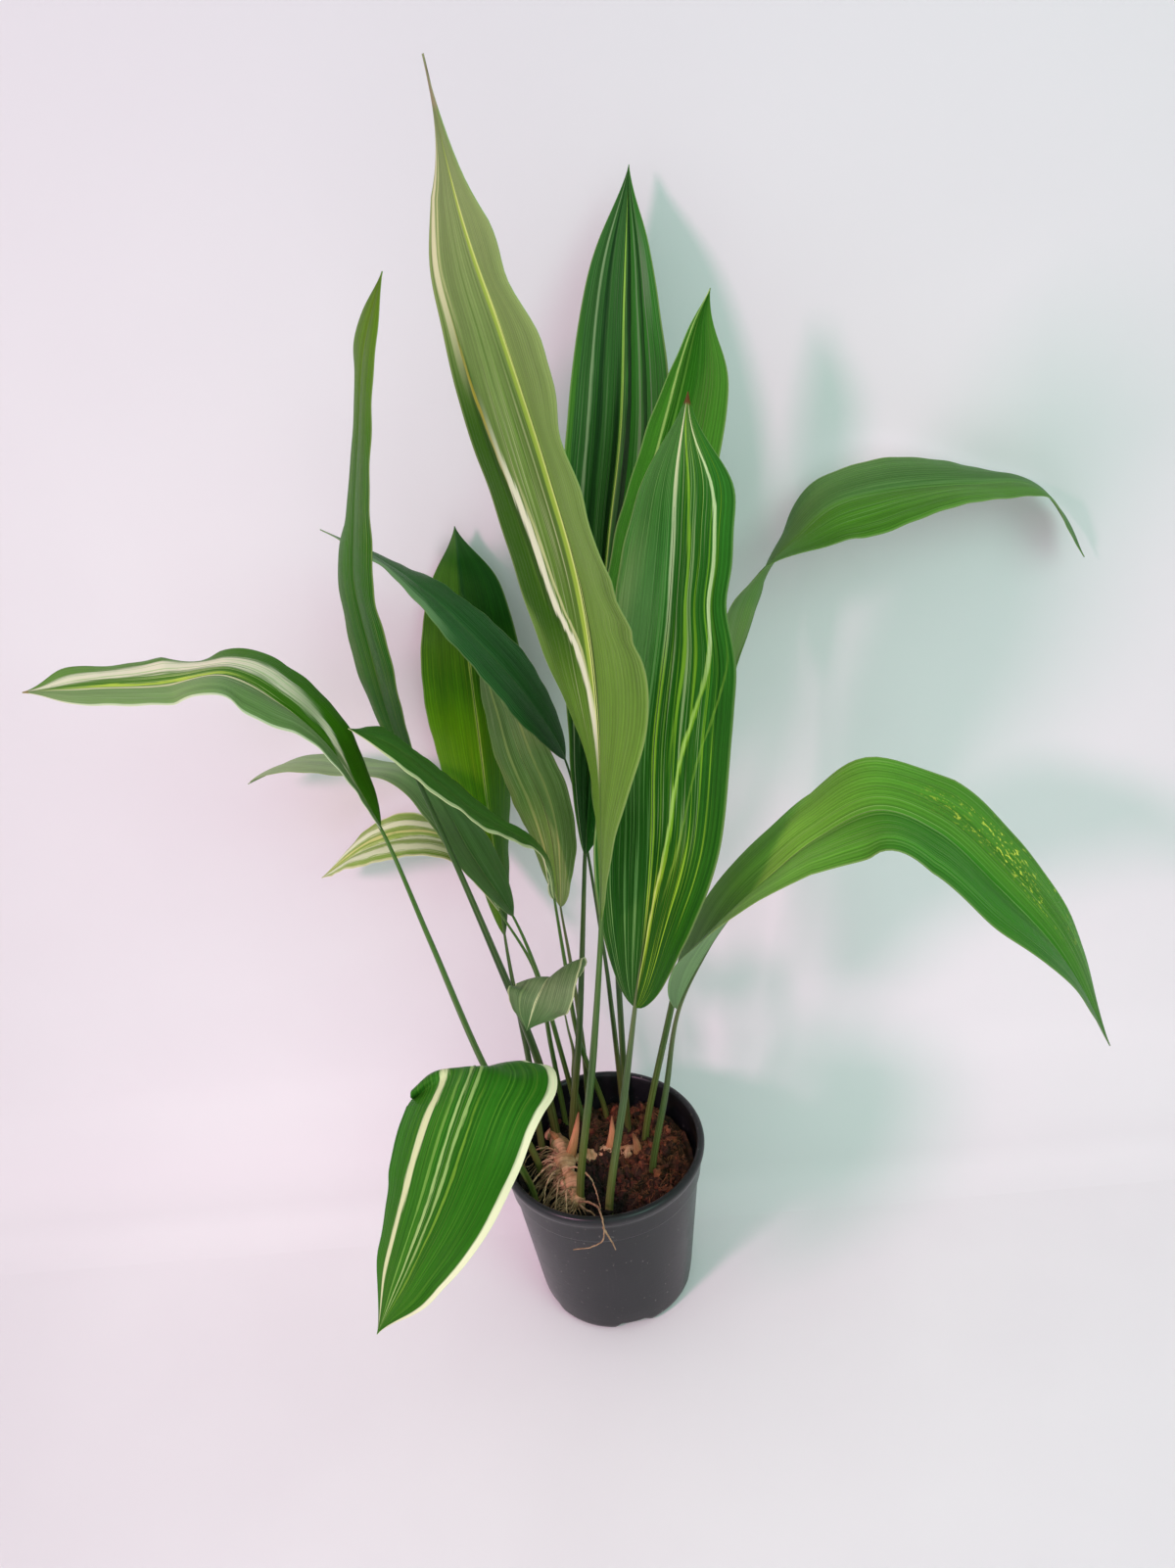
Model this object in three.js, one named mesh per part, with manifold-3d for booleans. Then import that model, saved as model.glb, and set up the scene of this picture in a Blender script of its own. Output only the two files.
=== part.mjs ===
// Potted cast iron plant: a nursery pot filled with bark compost, the creeping
// rhizome with its roots, and sixteen long leaves, each grown with its stalk in
// one piece. Millimetres, +Z up, the pot's front towards -Y, the origin at the
// centre of the pot's flat bottom, which is the plane the plant rests on.

import * as THREE from 'three';
import { mergeVertices } from 'three/addons/utils/BufferGeometryUtils.js';
import Module from 'manifold-3d';

const wasm = await Module();
wasm.setup();

// Driving dimensions of the pot
const RIM_DIAMETER = 150;
const POT_HEIGHT = 137;
const BASE_DIAMETER = 114;
const WALL = 2;
const LIP_WIDTH = 5.5;
const LIP_DEPTH = 6;
const COLLAR_HEIGHT = 25;
const FOOT_RADIUS = 9;
const FOOT_STEPS = 4;
const COLLAR_STEP = 1.5;
const COLLAR_EASE = 0.6;
const POT_SIDES = 36;
const NOTCH_HEIGHT = 5;
const NOTCH_WIDTH = 30;
const NOTCH_SHOULDER = 8;
const NOTCH_DEPTH = 11;
const NOTCH_COUNT = 5;
const NOTCH_FIRST_ANGLE = -82;

// The lip's section from the collar over the top to the inside: how far each
// point is in from the rim, and how far down from the top
const LIP_SECTION = [[2.4, 11], [0.6, 6], [0, 3], [1.4, 0.6], [3, 0], [5.1, 0.8], [5.9, 3]];

// The hollow inside the lip, from the collar down to the floor: how far each
// point is in from the inner wall, and its height above the floor's edge
const FLOOR_SECTION = [[0, 9], [3, 4], [8, 0]];

// Driving dimensions of what fills it. The rings are shares of the compost's
// radius, from the wall to the middle.
const SOIL_LEVEL = 112;
const SOIL_ROUGHNESS = 4;
const SOIL_SLOPE = 3;
const SOIL_GAP = 1.2;
const SOIL_RINGS = [1, 0.84, 0.66, 0.46, 0.24];
const SOIL_SIDES = 26;
const SOIL_SEED = 43;
const CLEARANCE = 0.4;
const RHIZOME_CLEARANCE = 0.6;

// Driving dimensions of the leaves
const BLADE_THICKNESS = 1.1;
const BLADE_ROWS = 12;
const TIP_HALF_WIDTH = 1.2;
const RIB_SHARE = 0.15;
const RIB_RADIUS = 0.45;
const STALK_SIDES = 6;
const STALK_RINGS = 11;

const rimRadius = RIM_DIAMETER / 2;
const baseRadius = BASE_DIAMETER / 2;
const collarBottom = POT_HEIGHT - COLLAR_HEIGHT;
const wallTop = rimRadius - LIP_WIDTH;
const collarRadius = wallTop + COLLAR_STEP;
const wallSlope = (wallTop - baseRadius) / collarBottom;

// The leaves. spine: the midline from the soil through the stalk to the tip of
// the blade. blade: the spine point where the stalk widens into the blade.
// width: across the blade at its widest place, widest: how far up that is.
// full: how bluntly the blade ends, small is blunt. across: the compass
// direction, in degrees from +X, of the blade's right half before it is lifted.
// right, left: how far each half is lifted towards the upper face, in degrees,
// at even steps from the blade's foot to its tip. stalk: its diameter.
const leaves = [
  { name: 'leaf_01', width: 76, widest: 0.47, full: 0.85, across: 0, stalk: 7, blade: 3,
    spine: [[-20, -28, 84], [-20, -28, 112], [2, -40, 248], [18, -60, 371], [24, -78, 446], [28, -104, 530],
      [26, -132, 600], [17, -162, 664], [7, -190, 719], [-1, -212, 760], [-5, -235, 804]],
    right: [85, 79, 52, 65, 52, 60], left: [-88, -83, -47, -33, -25, -70] },
  { name: 'leaf_02', width: 72, widest: 0.5, full: 0.7, across: 0, stalk: 7, blade: 3,
    spine: [[-23, 32, 84], [-23, 32, 112], [-7, 33, 215], [12, 38, 359], [20, 43, 417], [31, 50, 476],
      [48, 64, 562], [63, 78, 629], [73, 96, 701], [83, 118, 767]],
    right: [10, 20, 25, 30, 40, 50], left: [62, 56, 46, 20, 0, 0] },
  { name: 'leaf_03', width: 72, widest: 0.6, full: 0.7, across: 0, stalk: 6, blade: 3,
    spine: [[20, 32, 84], [20, 32, 112], [25, 22, 263], [29, 18, 370], [38, 18, 448], [51, 22, 523],
      [64, 28, 574], [90, 38, 643], [105, 45, 682], [117, 50, 703]],
    right: [0, 0, 0, 5, 10, 20], left: [40, 50, 60, 65, 67, 80] },
  { name: 'leaf_04', width: 84, widest: 0.5, full: 0.6, across: 0, stalk: 7, blade: 3,
    spine: [[0, -44, 84], [0, -44, 112], [21, -46, 225], [33, -50, 295], [44, -56, 359], [52, -62, 420],
      [58, -66, 487], [70, -68, 556], [75, -66, 591], [80, -62, 631], [89, -55, 668]],
    right: [53, 50, 14, 22, 28, 5], left: [-29, -25, -43, -51, -45, -60] },
  { name: 'leaf_05', width: 66, widest: 0.4, full: 0.7, across: -75, stalk: 6, blade: 4,
    spine: [[32, 20, 84], [32, 20, 112], [63, 30, 236], [96, 42, 363], [120, 55, 469], [133, 60, 500],
      [148, 66, 535], [168, 70, 552], [190, 75, 566], [218, 80, 570], [286, 95, 565], [332, 105, 555],
      [369, 110, 503]],
    right: [90, 84, 40, 0, -29, -20, -9, -13, -17, -24, -30], left: [-30, -29, 15, 27, 9, 50] },
  { name: 'leaf_06', width: 80, widest: 0.5, full: 0.6, across: -80, stalk: 6, blade: 3,
    spine: [[34, -14, 84], [34, -14, 112], [49, -20, 194], [62, -30, 273], [82, -38, 323], [102, -46, 359],
      [124, -54, 387], [148, -62, 412], [181, -72, 432], [211, -82, 420], [244, -92, 385], [280, -100, 339],
      [315, -105, 269]],
    right: [90, 45, 15, -25, -18, -15], left: [20, 5, 0, 45, 47, 40] },
  { name: 'leaf_07', width: 62, widest: 0.5, full: 0.7, across: 0, stalk: 8, blade: 4,
    spine: [[-36, 39, 84], [-36, 39, 112], [-40, 38, 178], [-61, 30, 303], [-85, 12, 438], [-94, 8, 479],
      [-97, 2, 529], [-98, -2, 576], [-92, -5, 607], [-80, -10, 654], [-67, -14, 702], [-52, -18, 734]],
    right: [50, 55, 62, 68, 70, 62], left: [-50, -53, -62, -78, -78, -60] },
  { name: 'leaf_08', width: 72, widest: 0.5, full: 0.65, across: 80, stalk: 6, blade: 4,
    spine: [[-50, 8, 84], [-50, 8, 112], [-75, -4, 222], [-93, -16, 340], [-107, -28, 433], [-117, -34, 469],
      [-126, -40, 498], [-142, -47, 526], [-164, -56, 551], [-192, -66, 553], [-223, -78, 560],
      [-255, -92, 567]],
    right: [3, 5, -1, -7, -1, 10], left: [25, 27, 25, 3, 7, 3] },
  { name: 'leaf_09', width: 64, widest: 0.5, full: 0.7, across: 70, stalk: 5, blade: 4,
    spine: [[18, 55, 84], [18, 55, 112], [18, 58, 206], [17, 56, 269], [6, 54, 424], [-12, 52, 470],
      [-38, 52, 512], [-66, 53, 549], [-95, 55, 575], [-123, 58, 593]],
    right: [5, 3, 0, -10, -25, -30], left: [0, 0, 5, 12, 22, 25] },
  { name: 'leaf_10', width: 76, widest: 0.55, full: 0.7, across: 0, stalk: 6, blade: 4,
    spine: [[-47, 26, 84], [-47, 26, 112], [-48, 42, 181], [-52, 58, 237], [-54, 72, 277], [-54, 92, 337],
      [-54, 98, 372], [-53, 107, 432], [-52, 114, 482], [-50, 121, 534], [-49, 126, 568]],
    right: [-70, -70, -50, -13, 0, -35], left: [-47, -43, -31, -19, -23, -45] },
  { name: 'leaf_11', width: 62, widest: 0.45, full: 0.7, across: 0, stalk: 5, blade: 4,
    spine: [[-9, 56, 84], [-9, 56, 112], [-7, 58, 171], [-8, 58, 254], [-10, 58, 306], [-10, 60, 365],
      [-14, 62, 393], [-23, 67, 423], [-30, 73, 458], [-41, 80, 498]],
    right: [60, 60, 50, 40, 35, 30], left: [-55, -55, -45, -46, -44, -40] },
  { name: 'leaf_12', width: 60, widest: 0.5, full: 0.7, across: 60, stalk: 5, blade: 4,
    spine: [[-18, 51, 84], [-18, 51, 112], [-24, 51, 180], [-33, 50, 258], [-44, 50, 308], [-59, 51, 344],
      [-69, 54, 368], [-81, 59, 403], [-95, 65, 420], [-133, 80, 423], [-182, 98, 424], [-222, 112, 404]],
    right: [15, 5, -40, -20, -14, -10], left: [20, 20, 15, 15, 8, 5] },
  { name: 'leaf_13', width: 64, widest: 0.5, full: 0.7, across: 70, stalk: 5, blade: 4,
    spine: [[-28, 48, 84], [-28, 48, 112], [-31, 57, 180], [-35, 64, 247], [-55, 68, 302], [-72, 77, 342],
      [-81, 82, 353], [-104, 92, 357], [-143, 106, 345], [-188, 118, 316]],
    right: [0, -10, -20, 10, 15, 10], left: [30, 25, 5, 0, 0, 0] },
  { name: 'leaf_14', width: 62, widest: 0.55, full: 0.65, across: 75, stalk: 5, blade: 4,
    spine: [[4, 55, 84], [4, 55, 112], [-9, 46, 194], [-11, 34, 273], [-12, 24, 336], [-12, 16, 366],
      [-20, 4, 391], [-38, -12, 415], [-52, -26, 438], [-67, -42, 468], [-85, -58, 500],
      [-104, -72, 519]],
    right: [-10, -35, -30, -30, -30, -30], left: [0, 12, 42, 33, 25, 12] },
  { name: 'leaf_15', width: 52, widest: 0.5, full: 0.7, across: 180, stalk: 4, blade: 5,
    spine: [[-13, 43, 84], [-13, 43, 112], [-17, 45, 156], [-14, 38, 189], [-15, 28, 219], [-16, 6, 263],
      [-20, -14, 299], [-29, -30, 296], [-39, -34, 273]],
    right: [30, 0, 0, -25, -28, -28], left: [25, 30, 20, 20, 0, -20] },
  { name: 'leaf_16', width: 84, widest: 0.5, full: 0.65, across: 165, stalk: 6, blade: 3,
    spine: [[-54, -20, 84], [-54, -20, 112], [-67, -60, 218], [-71, -88, 266], [-68, -112, 310],
      [-61, -135, 334], [-66, -158, 334], [-76, -180, 321], [-86, -200, 305], [-101, -218, 281],
      [-120, -236, 253]],
    right: [-20, -33, -27, -25, -33, -36], left: [30, 27, 23, 10, -8, -4, -3, 9, 25, 31, 35] },
];

// The creeping rhizome: two thick branches half out of the compost
const rhizomes = [
  { radius: 8, route: [[-40, 44, 108], [-33, 24, 110], [-30, 4, 111], [-26, -14, 110], [-22, -34, 107]] },
  { radius: 6, route: [[-31, 10, 108], [-12, 16, 106], [8, 18, 106], [26, 10, 107], [36, 2, 107]] },
];

// Bare roots: each starts in a rhizome and runs over the compost
const roots = [
  { radius: 0.9, route: [[-30, 6, 112], [-40, 2, 116], [-48, -6, 117], [-54, -14, 116], [-58, -22, 112]] },
  { radius: 0.8, route: [[-31, 0, 112], [-39, -10, 119], [-44, -20, 118], [-46, -30, 115],
    [-49, -38, 111]] },
  { radius: 0.9, route: [[-28, -8, 112], [-34, -18, 120], [-36, -28, 119], [-38, -38, 115],
    [-39, -46, 110]] },
  { radius: 0.8, route: [[-32, 14, 112], [-40, 16, 118], [-49, 17, 118], [-57, 14, 115], [-62, 8, 110]] },
  { radius: 0.8, route: [[-25, -18, 112], [-29, -30, 121], [-30, -40, 119], [-30, -48, 114],
    [-31, -54, 109]] },
  { radius: 0.9, route: [[-30, -4, 114], [-22, -8, 121], [-12, -18, 120], [-8, -30, 117], [-6, -40, 110]] },
  { radius: 0.9, route: [[-24, -30, 110], [-14, -40, 118], [-7, -54, 127], [-6, -66, 137], [-5, -73, 141],
    [-4, -78.5, 136], [-6, -78.5, 122], [-14, -77.5, 116], [-27, -75.5, 113]] },
  { radius: 0.7, route: [[-4.6, -78, 134], [-1, -79, 124], [1, -78, 116], [2, -77, 110]] },
  { radius: 0.8, route: [[-22, -32, 110], [-17, -44, 116], [-11, -52, 119], [-9, -58, 115],
    [-10, -60, 109]] },
];

// Pointed scale leaves that wrap the foot of a stalk: foot and tip of each
const sheaths = [
  { foot: [-27, 12, 108], tip: [-15, 15, 152], radius: 4.2 },
  { foot: [4, 18, 106], tip: [9, 22, 138], radius: 3.6 },
  { foot: [25, 10, 106], tip: [23, 4, 136], radius: 3.8 },
  { foot: [-35, 30, 108], tip: [-39, 22, 130], radius: 3.8 },
];

const millimetre = (point) => new THREE.Vector3(...point);

// A small repeatable random series, from 0 to 1
function randomSeries(seed) {
  let state = seed;
  return () => {
    state = (state * 16807) % 2147483647;
    return state / 2147483647;
  };
}

function solidOf(geometry) {
  const bare = new THREE.BufferGeometry();
  bare.setAttribute('position', geometry.getAttribute('position').clone());
  if (geometry.index) {
    bare.setIndex(geometry.index.clone());
  }
  const merged = mergeVertices(bare, 1e-4);
  const mesh = new wasm.Mesh({
    numProp: 3,
    vertProperties: new Float32Array(merged.getAttribute('position').array),
    triVerts: new Uint32Array(merged.index.array),
  });
  return new wasm.Manifold(mesh);
}

function meshOf(name, solid) {
  const data = solid.getMesh();
  const geometry = new THREE.BufferGeometry();
  geometry.setAttribute('position', new THREE.BufferAttribute(data.vertProperties, 3));
  geometry.setIndex(new THREE.BufferAttribute(data.triVerts, 1));
  geometry.computeVertexNormals();
  const mesh = new THREE.Mesh(geometry, new THREE.MeshStandardMaterial());
  mesh.name = name;
  return mesh;
}

function fused(solids) {
  return solids.reduce((whole, next) => whole.add(next));
}

// A closed solid from rings of points, each ring with as many points as the
// next, capped at both ends by a fan about the ring's middle
function skin(rings) {
  const sides = rings[0].length;
  const positions = rings.flat().flatMap((point) => [point.x, point.y, point.z]);
  const faces = [];
  for (let i = 0; i + 1 < rings.length; i += 1) {
    for (let j = 0; j < sides; j += 1) {
      const a = i * sides + j;
      const b = i * sides + (j + 1) % sides;
      faces.push(a, b, b + sides, a, b + sides, a + sides);
    }
  }
  for (const [ring, turned] of [[0, true], [rings.length - 1, false]]) {
    const middle = new THREE.Vector3();
    rings[ring].forEach((point) => middle.addScaledVector(point, 1 / sides));
    positions.push(middle.x, middle.y, middle.z);
    const centre = positions.length / 3 - 1;
    for (let j = 0; j < sides; j += 1) {
      const a = ring * sides + j;
      const b = ring * sides + (j + 1) % sides;
      faces.push(...(turned ? [centre, b, a] : [centre, a, b]));
    }
  }
  const geometry = new THREE.BufferGeometry();
  geometry.setAttribute('position', new THREE.BufferAttribute(new Float32Array(positions), 3));
  geometry.setIndex(faces);
  return solidOf(geometry);
}

// A round rod along a curve, its radius given by a function of 0 to 1, each
// end pushed out along the curve by as much as the rod is grown
function rod(curve, radiusAt, segments, sides, grown = 0) {
  const frames = curve.computeFrenetFrames(segments, false);
  const rings = [];
  for (let i = 0; i <= segments; i += 1) {
    const share = i / segments;
    const push = i === 0 ? -grown : (i === segments ? grown : 0);
    const middle = curve.getPointAt(share).addScaledVector(frames.tangents[i], push);
    const radius = radiusAt(share) + grown;
    const ring = [];
    for (let j = 0; j < sides; j += 1) {
      const angle = (2 * Math.PI * j) / sides;
      ring.push(middle.clone()
        .addScaledVector(frames.normals[i], radius * Math.cos(angle))
        .addScaledVector(frames.binormals[i], radius * Math.sin(angle)));
    }
    rings.push(ring);
  }
  return skin(rings);
}

function curveThrough(points) {
  return new THREE.CatmullRomCurve3(points.map(millimetre), false, 'centripetal');
}

// Smooth value at a share of an evenly spaced list
function smooth(values, share) {
  const place = share * (values.length - 1);
  const i = Math.min(Math.floor(place), values.length - 2);
  const w = place - i;
  const before = values[Math.max(i - 1, 0)];
  const after = values[Math.min(i + 2, values.length - 1)];
  const slopeIn = (values[i + 1] - before) / 2;
  const slopeOut = (after - values[i]) / 2;
  return (2 * w ** 3 - 3 * w ** 2 + 1) * values[i] + (w ** 3 - 2 * w ** 2 + w) * slopeIn
    + (3 * w ** 2 - 2 * w ** 3) * values[i + 1] + (w ** 3 - w ** 2) * slopeOut;
}

// Share of the full half width at a share of the blade's length
function outline(leaf, share) {
  const tipPower = leaf.full * (1 - leaf.widest) / leaf.widest;
  const peak = leaf.widest ** leaf.full * (1 - leaf.widest) ** tipPower;
  return share ** leaf.full * (1 - share) ** tipPower / peak;
}

// Curve parameters at even distances along the blade
function bladeSteps(leaf, curve, count) {
  const first = leaf.blade / (leaf.spine.length - 1);
  const samples = 400;
  const lengths = [0];
  let last = curve.getPoint(first);
  for (let i = 1; i <= samples; i += 1) {
    const next = curve.getPoint(first + (1 - first) * i / samples);
    lengths.push(lengths[i - 1] + next.distanceTo(last));
    last = next;
  }
  const steps = [];
  let i = 0;
  for (let row = 0; row <= count; row += 1) {
    const target = lengths[samples] * row / count;
    while (i < samples - 1 && lengths[i + 1] < target) {
      i += 1;
    }
    const part = (target - lengths[i]) / (lengths[i + 1] - lengths[i]);
    steps.push(first + (1 - first) * (i + part) / samples);
  }
  return steps;
}

// The blade: a thin closed sheet, five points across on each face
function bladeSolid(leaf, curve) {
  const flat = THREE.MathUtils.degToRad(leaf.across);
  const compass = new THREE.Vector3(Math.cos(flat), Math.sin(flat), 0);
  const rings = bladeSteps(leaf, curve, BLADE_ROWS).map((step, row) => {
    const share = row / BLADE_ROWS;
    const middle = curve.getPoint(step);
    const along = curve.getTangent(step);
    const across = compass.clone().addScaledVector(along, -compass.dot(along)).normalize();
    const up = new THREE.Vector3().crossVectors(across, along);
    const half = Math.max(leaf.width / 2 * outline(leaf, share), TIP_HALF_WIDTH);
    const right = THREE.MathUtils.degToRad(smooth(leaf.right, share));
    const left = THREE.MathUtils.degToRad(smooth(leaf.left, share));
    const offset = BLADE_THICKNESS / 2;
    const place = (reach, lift, turn, side) => {
      const outward = reach * Math.cos(lift) - side * offset * Math.sin(lift);
      const upward = reach * Math.sin(lift) + side * offset * Math.cos(lift);
      return middle.clone().addScaledVector(across, turn * outward).addScaledVector(up, upward);
    };
    const crease = (right + left) / 2;
    const roll = (right - left) / 2;
    const rise = offset / Math.max(Math.cos(crease), 0.5);
    const spineAt = (side) => middle.clone()
      .addScaledVector(across, -side * rise * Math.sin(roll))
      .addScaledVector(up, side * rise * Math.cos(roll));
    return [
      place(half, left, -1, 1), place(half / 2, left, -1, 1), spineAt(1),
      place(half / 2, right, 1, 1), place(half, right, 1, 1),
      place(half, right, 1, -1), place(half / 2, right, 1, -1), spineAt(-1),
      place(half / 2, left, -1, -1), place(half, left, -1, -1),
    ];
  });
  return sheet(rings);
}

// Closes rings that run once over the upper face and back over the lower one,
// with the same diagonals on both faces
function sheet(rings) {
  const sides = rings[0].length;
  const across = sides / 2;
  const positions = rings.flat().flatMap((point) => [point.x, point.y, point.z]);
  const faces = [];
  const upper = (row, column) => row * sides + column;
  const lower = (row, column) => row * sides + sides - 1 - column;
  const quad = (a, b, c, d) => faces.push(a, b, c, a, c, d);
  for (let row = 0; row + 1 < rings.length; row += 1) {
    const next = row + 1;
    for (let column = 0; column + 1 < across; column += 1) {
      quad(upper(row, column), upper(row, column + 1), upper(next, column + 1), upper(next, column));
      faces.push(lower(row, column), lower(next, column + 1), lower(row, column + 1));
      faces.push(lower(row, column), lower(next, column), lower(next, column + 1));
    }
    quad(lower(row, 0), upper(row, 0), upper(next, 0), lower(next, 0));
    const edge = across - 1;
    quad(upper(row, edge), lower(row, edge), lower(next, edge), upper(next, edge));
  }
  const end = rings.length - 1;
  for (let column = 0; column + 1 < across; column += 1) {
    quad(upper(0, column + 1), upper(0, column), lower(0, column), lower(0, column + 1));
    quad(upper(end, column), upper(end, column + 1), lower(end, column + 1), lower(end, column));
  }
  const geometry = new THREE.BufferGeometry();
  geometry.setAttribute('position', new THREE.BufferAttribute(new Float32Array(positions), 3));
  geometry.setIndex(faces);
  return solidOf(geometry);
}

// The stalk, which runs on under the blade as its midrib and ends inside it
function stalkCurve(leaf, curve) {
  const first = leaf.blade / (leaf.spine.length - 1);
  const ribEnd = first + (1 - first) * RIB_SHARE;
  const points = [];
  const count = 24;
  for (let i = 0; i <= count; i += 1) {
    points.push(curve.getPoint(ribEnd * i / count));
  }
  return new THREE.CatmullRomCurve3(points, false, 'centripetal');
}

function stalkSolid(leaf, curve, grown) {
  const route = stalkCurve(leaf, curve);
  const thick = leaf.stalk / 2;
  const radiusAt = (share) => {
    const taper = share < 0.5 ? 1 - 0.6 * share : 1.3 - 1.2 * share;
    return Math.max(thick * taper, RIB_RADIUS);
  };
  return rod(route, radiusAt, STALK_RINGS, STALK_SIDES, grown);
}

function leafSolid(leaf) {
  const curve = curveThrough(leaf.spine);
  return fused([stalkSolid(leaf, curve, 0), bladeSolid(leaf, curve)]);
}

// Radius of the pot's outer wall at a height below the collar
function wallAt(z) {
  return baseRadius + wallSlope * z;
}

// The pot: one section turned about the axis, less the notches in its foot
function potSolid() {
  const footRadius = wallAt(FOOT_RADIUS);
  const foot = [];
  for (let i = 0; i <= FOOT_STEPS; i += 1) {
    const angle = (i / FOOT_STEPS) * Math.PI / 2;
    const inset = FOOT_RADIUS * (1 - Math.sin(angle));
    foot.push([footRadius - inset, FOOT_RADIUS * (1 - Math.cos(angle))]);
  }
  const step = [[wallTop - COLLAR_EASE, collarBottom - COLLAR_STEP], [collarRadius, collarBottom]];
  const lip = LIP_SECTION.map(([inset, drop]) => [rimRadius - inset, POT_HEIGHT - drop]);
  const collar = [
    [collarRadius - WALL, POT_HEIGHT - 2 * LIP_DEPTH],
    [collarRadius - WALL, collarBottom + 1],
    [wallTop - COLLAR_EASE - WALL, collarBottom - WALL],
  ];
  const floor = FLOOR_SECTION.map(([inset, rise]) => [footRadius - WALL - inset, WALL + rise]);
  const section = [[0, 0], ...foot, ...step, ...lip, ...collar, ...floor, [0, WALL]];
  const shell = new THREE.LatheGeometry(section.map(([r, z]) => new THREE.Vector2(r, z)), POT_SIDES);
  shell.rotateX(Math.PI / 2);
  let pot = solidOf(shell);
  for (let i = 0; i < NOTCH_COUNT; i += 1) {
    const angle = THREE.MathUtils.degToRad(NOTCH_FIRST_ANGLE + i * 360 / NOTCH_COUNT);
    pot = pot.subtract(notchSolid(angle));
  }
  return pot;
}

// A low arch cut through the pot's foot so that water can run out
function notchSolid(angle) {
  const side = NOTCH_WIDTH / 2;
  const top = side - NOTCH_SHOULDER;
  const spring = NOTCH_HEIGHT * 0.4;
  const corner = side - 2;
  const shape = new THREE.Shape();
  shape.moveTo(-side, -1);
  shape.lineTo(side, -1);
  shape.lineTo(side, spring);
  shape.quadraticCurveTo(corner, NOTCH_HEIGHT, top, NOTCH_HEIGHT);
  shape.lineTo(-top, NOTCH_HEIGHT);
  shape.quadraticCurveTo(-corner, NOTCH_HEIGHT, -side, spring);
  shape.closePath();
  const settings = { depth: 2 * NOTCH_DEPTH, bevelEnabled: false, curveSegments: 2 };
  const cut = new THREE.ExtrudeGeometry(shape, settings);
  cut.rotateX(Math.PI / 2);
  cut.translate(0, -(baseRadius - NOTCH_DEPTH), 0);
  cut.rotateZ(angle + Math.PI / 2);
  return solidOf(cut);
}

// The compost: it follows the pot's inside and has a rough top
function soilSolid() {
  const random = randomSeries(SOIL_SEED);
  const innerAt = (z) => wallAt(z) - WALL - SOIL_GAP;
  const side = [[20, WALL + 1], [innerAt(10) - 8, WALL + 1.5], [innerAt(14), 14]];
  const rings = side.map(([radius, z]) => ringAt(radius, () => z, SOIL_SIDES));
  const full = innerAt(SOIL_LEVEL - 8);
  SOIL_RINGS.forEach((share) => {
    const atWall = share === 1;
    const rough = SOIL_ROUGHNESS * (atWall ? 0.6 : 1);
    const heightAt = () => SOIL_LEVEL - SOIL_SLOPE * share + rough * (2 * random() - 1);
    rings.push(ringAt(full * share - (atWall ? 0.6 : 0), heightAt, SOIL_SIDES));
  });
  return skin(rings);
}

// A level ring of points about the axis, each with its own height
function ringAt(radius, heightAt, count) {
  const ring = [];
  for (let j = 0; j < count; j += 1) {
    const angle = (2 * Math.PI * j) / count;
    ring.push(new THREE.Vector3(radius * Math.cos(angle), radius * Math.sin(angle), heightAt()));
  }
  return ring;
}

function sheathSolid(sheath, grown) {
  const foot = millimetre(sheath.foot);
  const tip = millimetre(sheath.tip);
  const bulge = foot.clone().lerp(tip, 0.45).add(new THREE.Vector3(1, 1, 0));
  const curve = new THREE.CatmullRomCurve3([foot, bulge, tip], false, 'centripetal');
  return rod(curve, (share) => sheath.radius * (1 - share) ** 0.7 + 0.4, 4, 6, grown);
}

function rhizomeSolid(grown) {
  const thick = rhizomes.map((branch) => {
    const radiusAt = (share) => branch.radius * (0.82 + 0.18 * Math.cos(share * 26));
    return rod(curveThrough(branch.route), radiusAt, 12, 8, grown);
  });
  const thin = roots.map((root) => {
    const radiusAt = (share) => root.radius * (1 - 0.35 * share);
    return rod(curveThrough(root.route), radiusAt, root.route.length * 2, 4, grown);
  });
  return fused([...thick, ...thin, ...sheaths.map((sheath) => sheathSolid(sheath, grown))]);
}

const leafSolids = leaves.map(leafSolid);
const stalkSpace = fused(leaves.map((leaf) => stalkSolid(leaf, curveThrough(leaf.spine), CLEARANCE)));
const pot = potSolid();
const rhizome = rhizomeSolid(0).subtract(stalkSpace);
const soil = soilSolid().subtract(stalkSpace).subtract(rhizomeSolid(RHIZOME_CLEARANCE));

const plant = new THREE.Group();
plant.name = 'potted_cast_iron_plant';
plant.add(meshOf('pot', pot));
plant.add(meshOf('soil', soil));
plant.add(meshOf('rhizome', rhizome));
leafSolids.forEach((solid, i) => plant.add(meshOf(leaves[i].name, solid)));

export default plant;
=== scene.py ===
# The looks of the potted cast iron plant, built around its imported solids:
# sixteen leaves, striped and plain, the nursery pot, the compost and the rhizome.
# Blender works in metres; the lists of points below are in millimetres.

import math

import bpy
import numpy as np
from mathutils import Matrix, Vector


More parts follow.
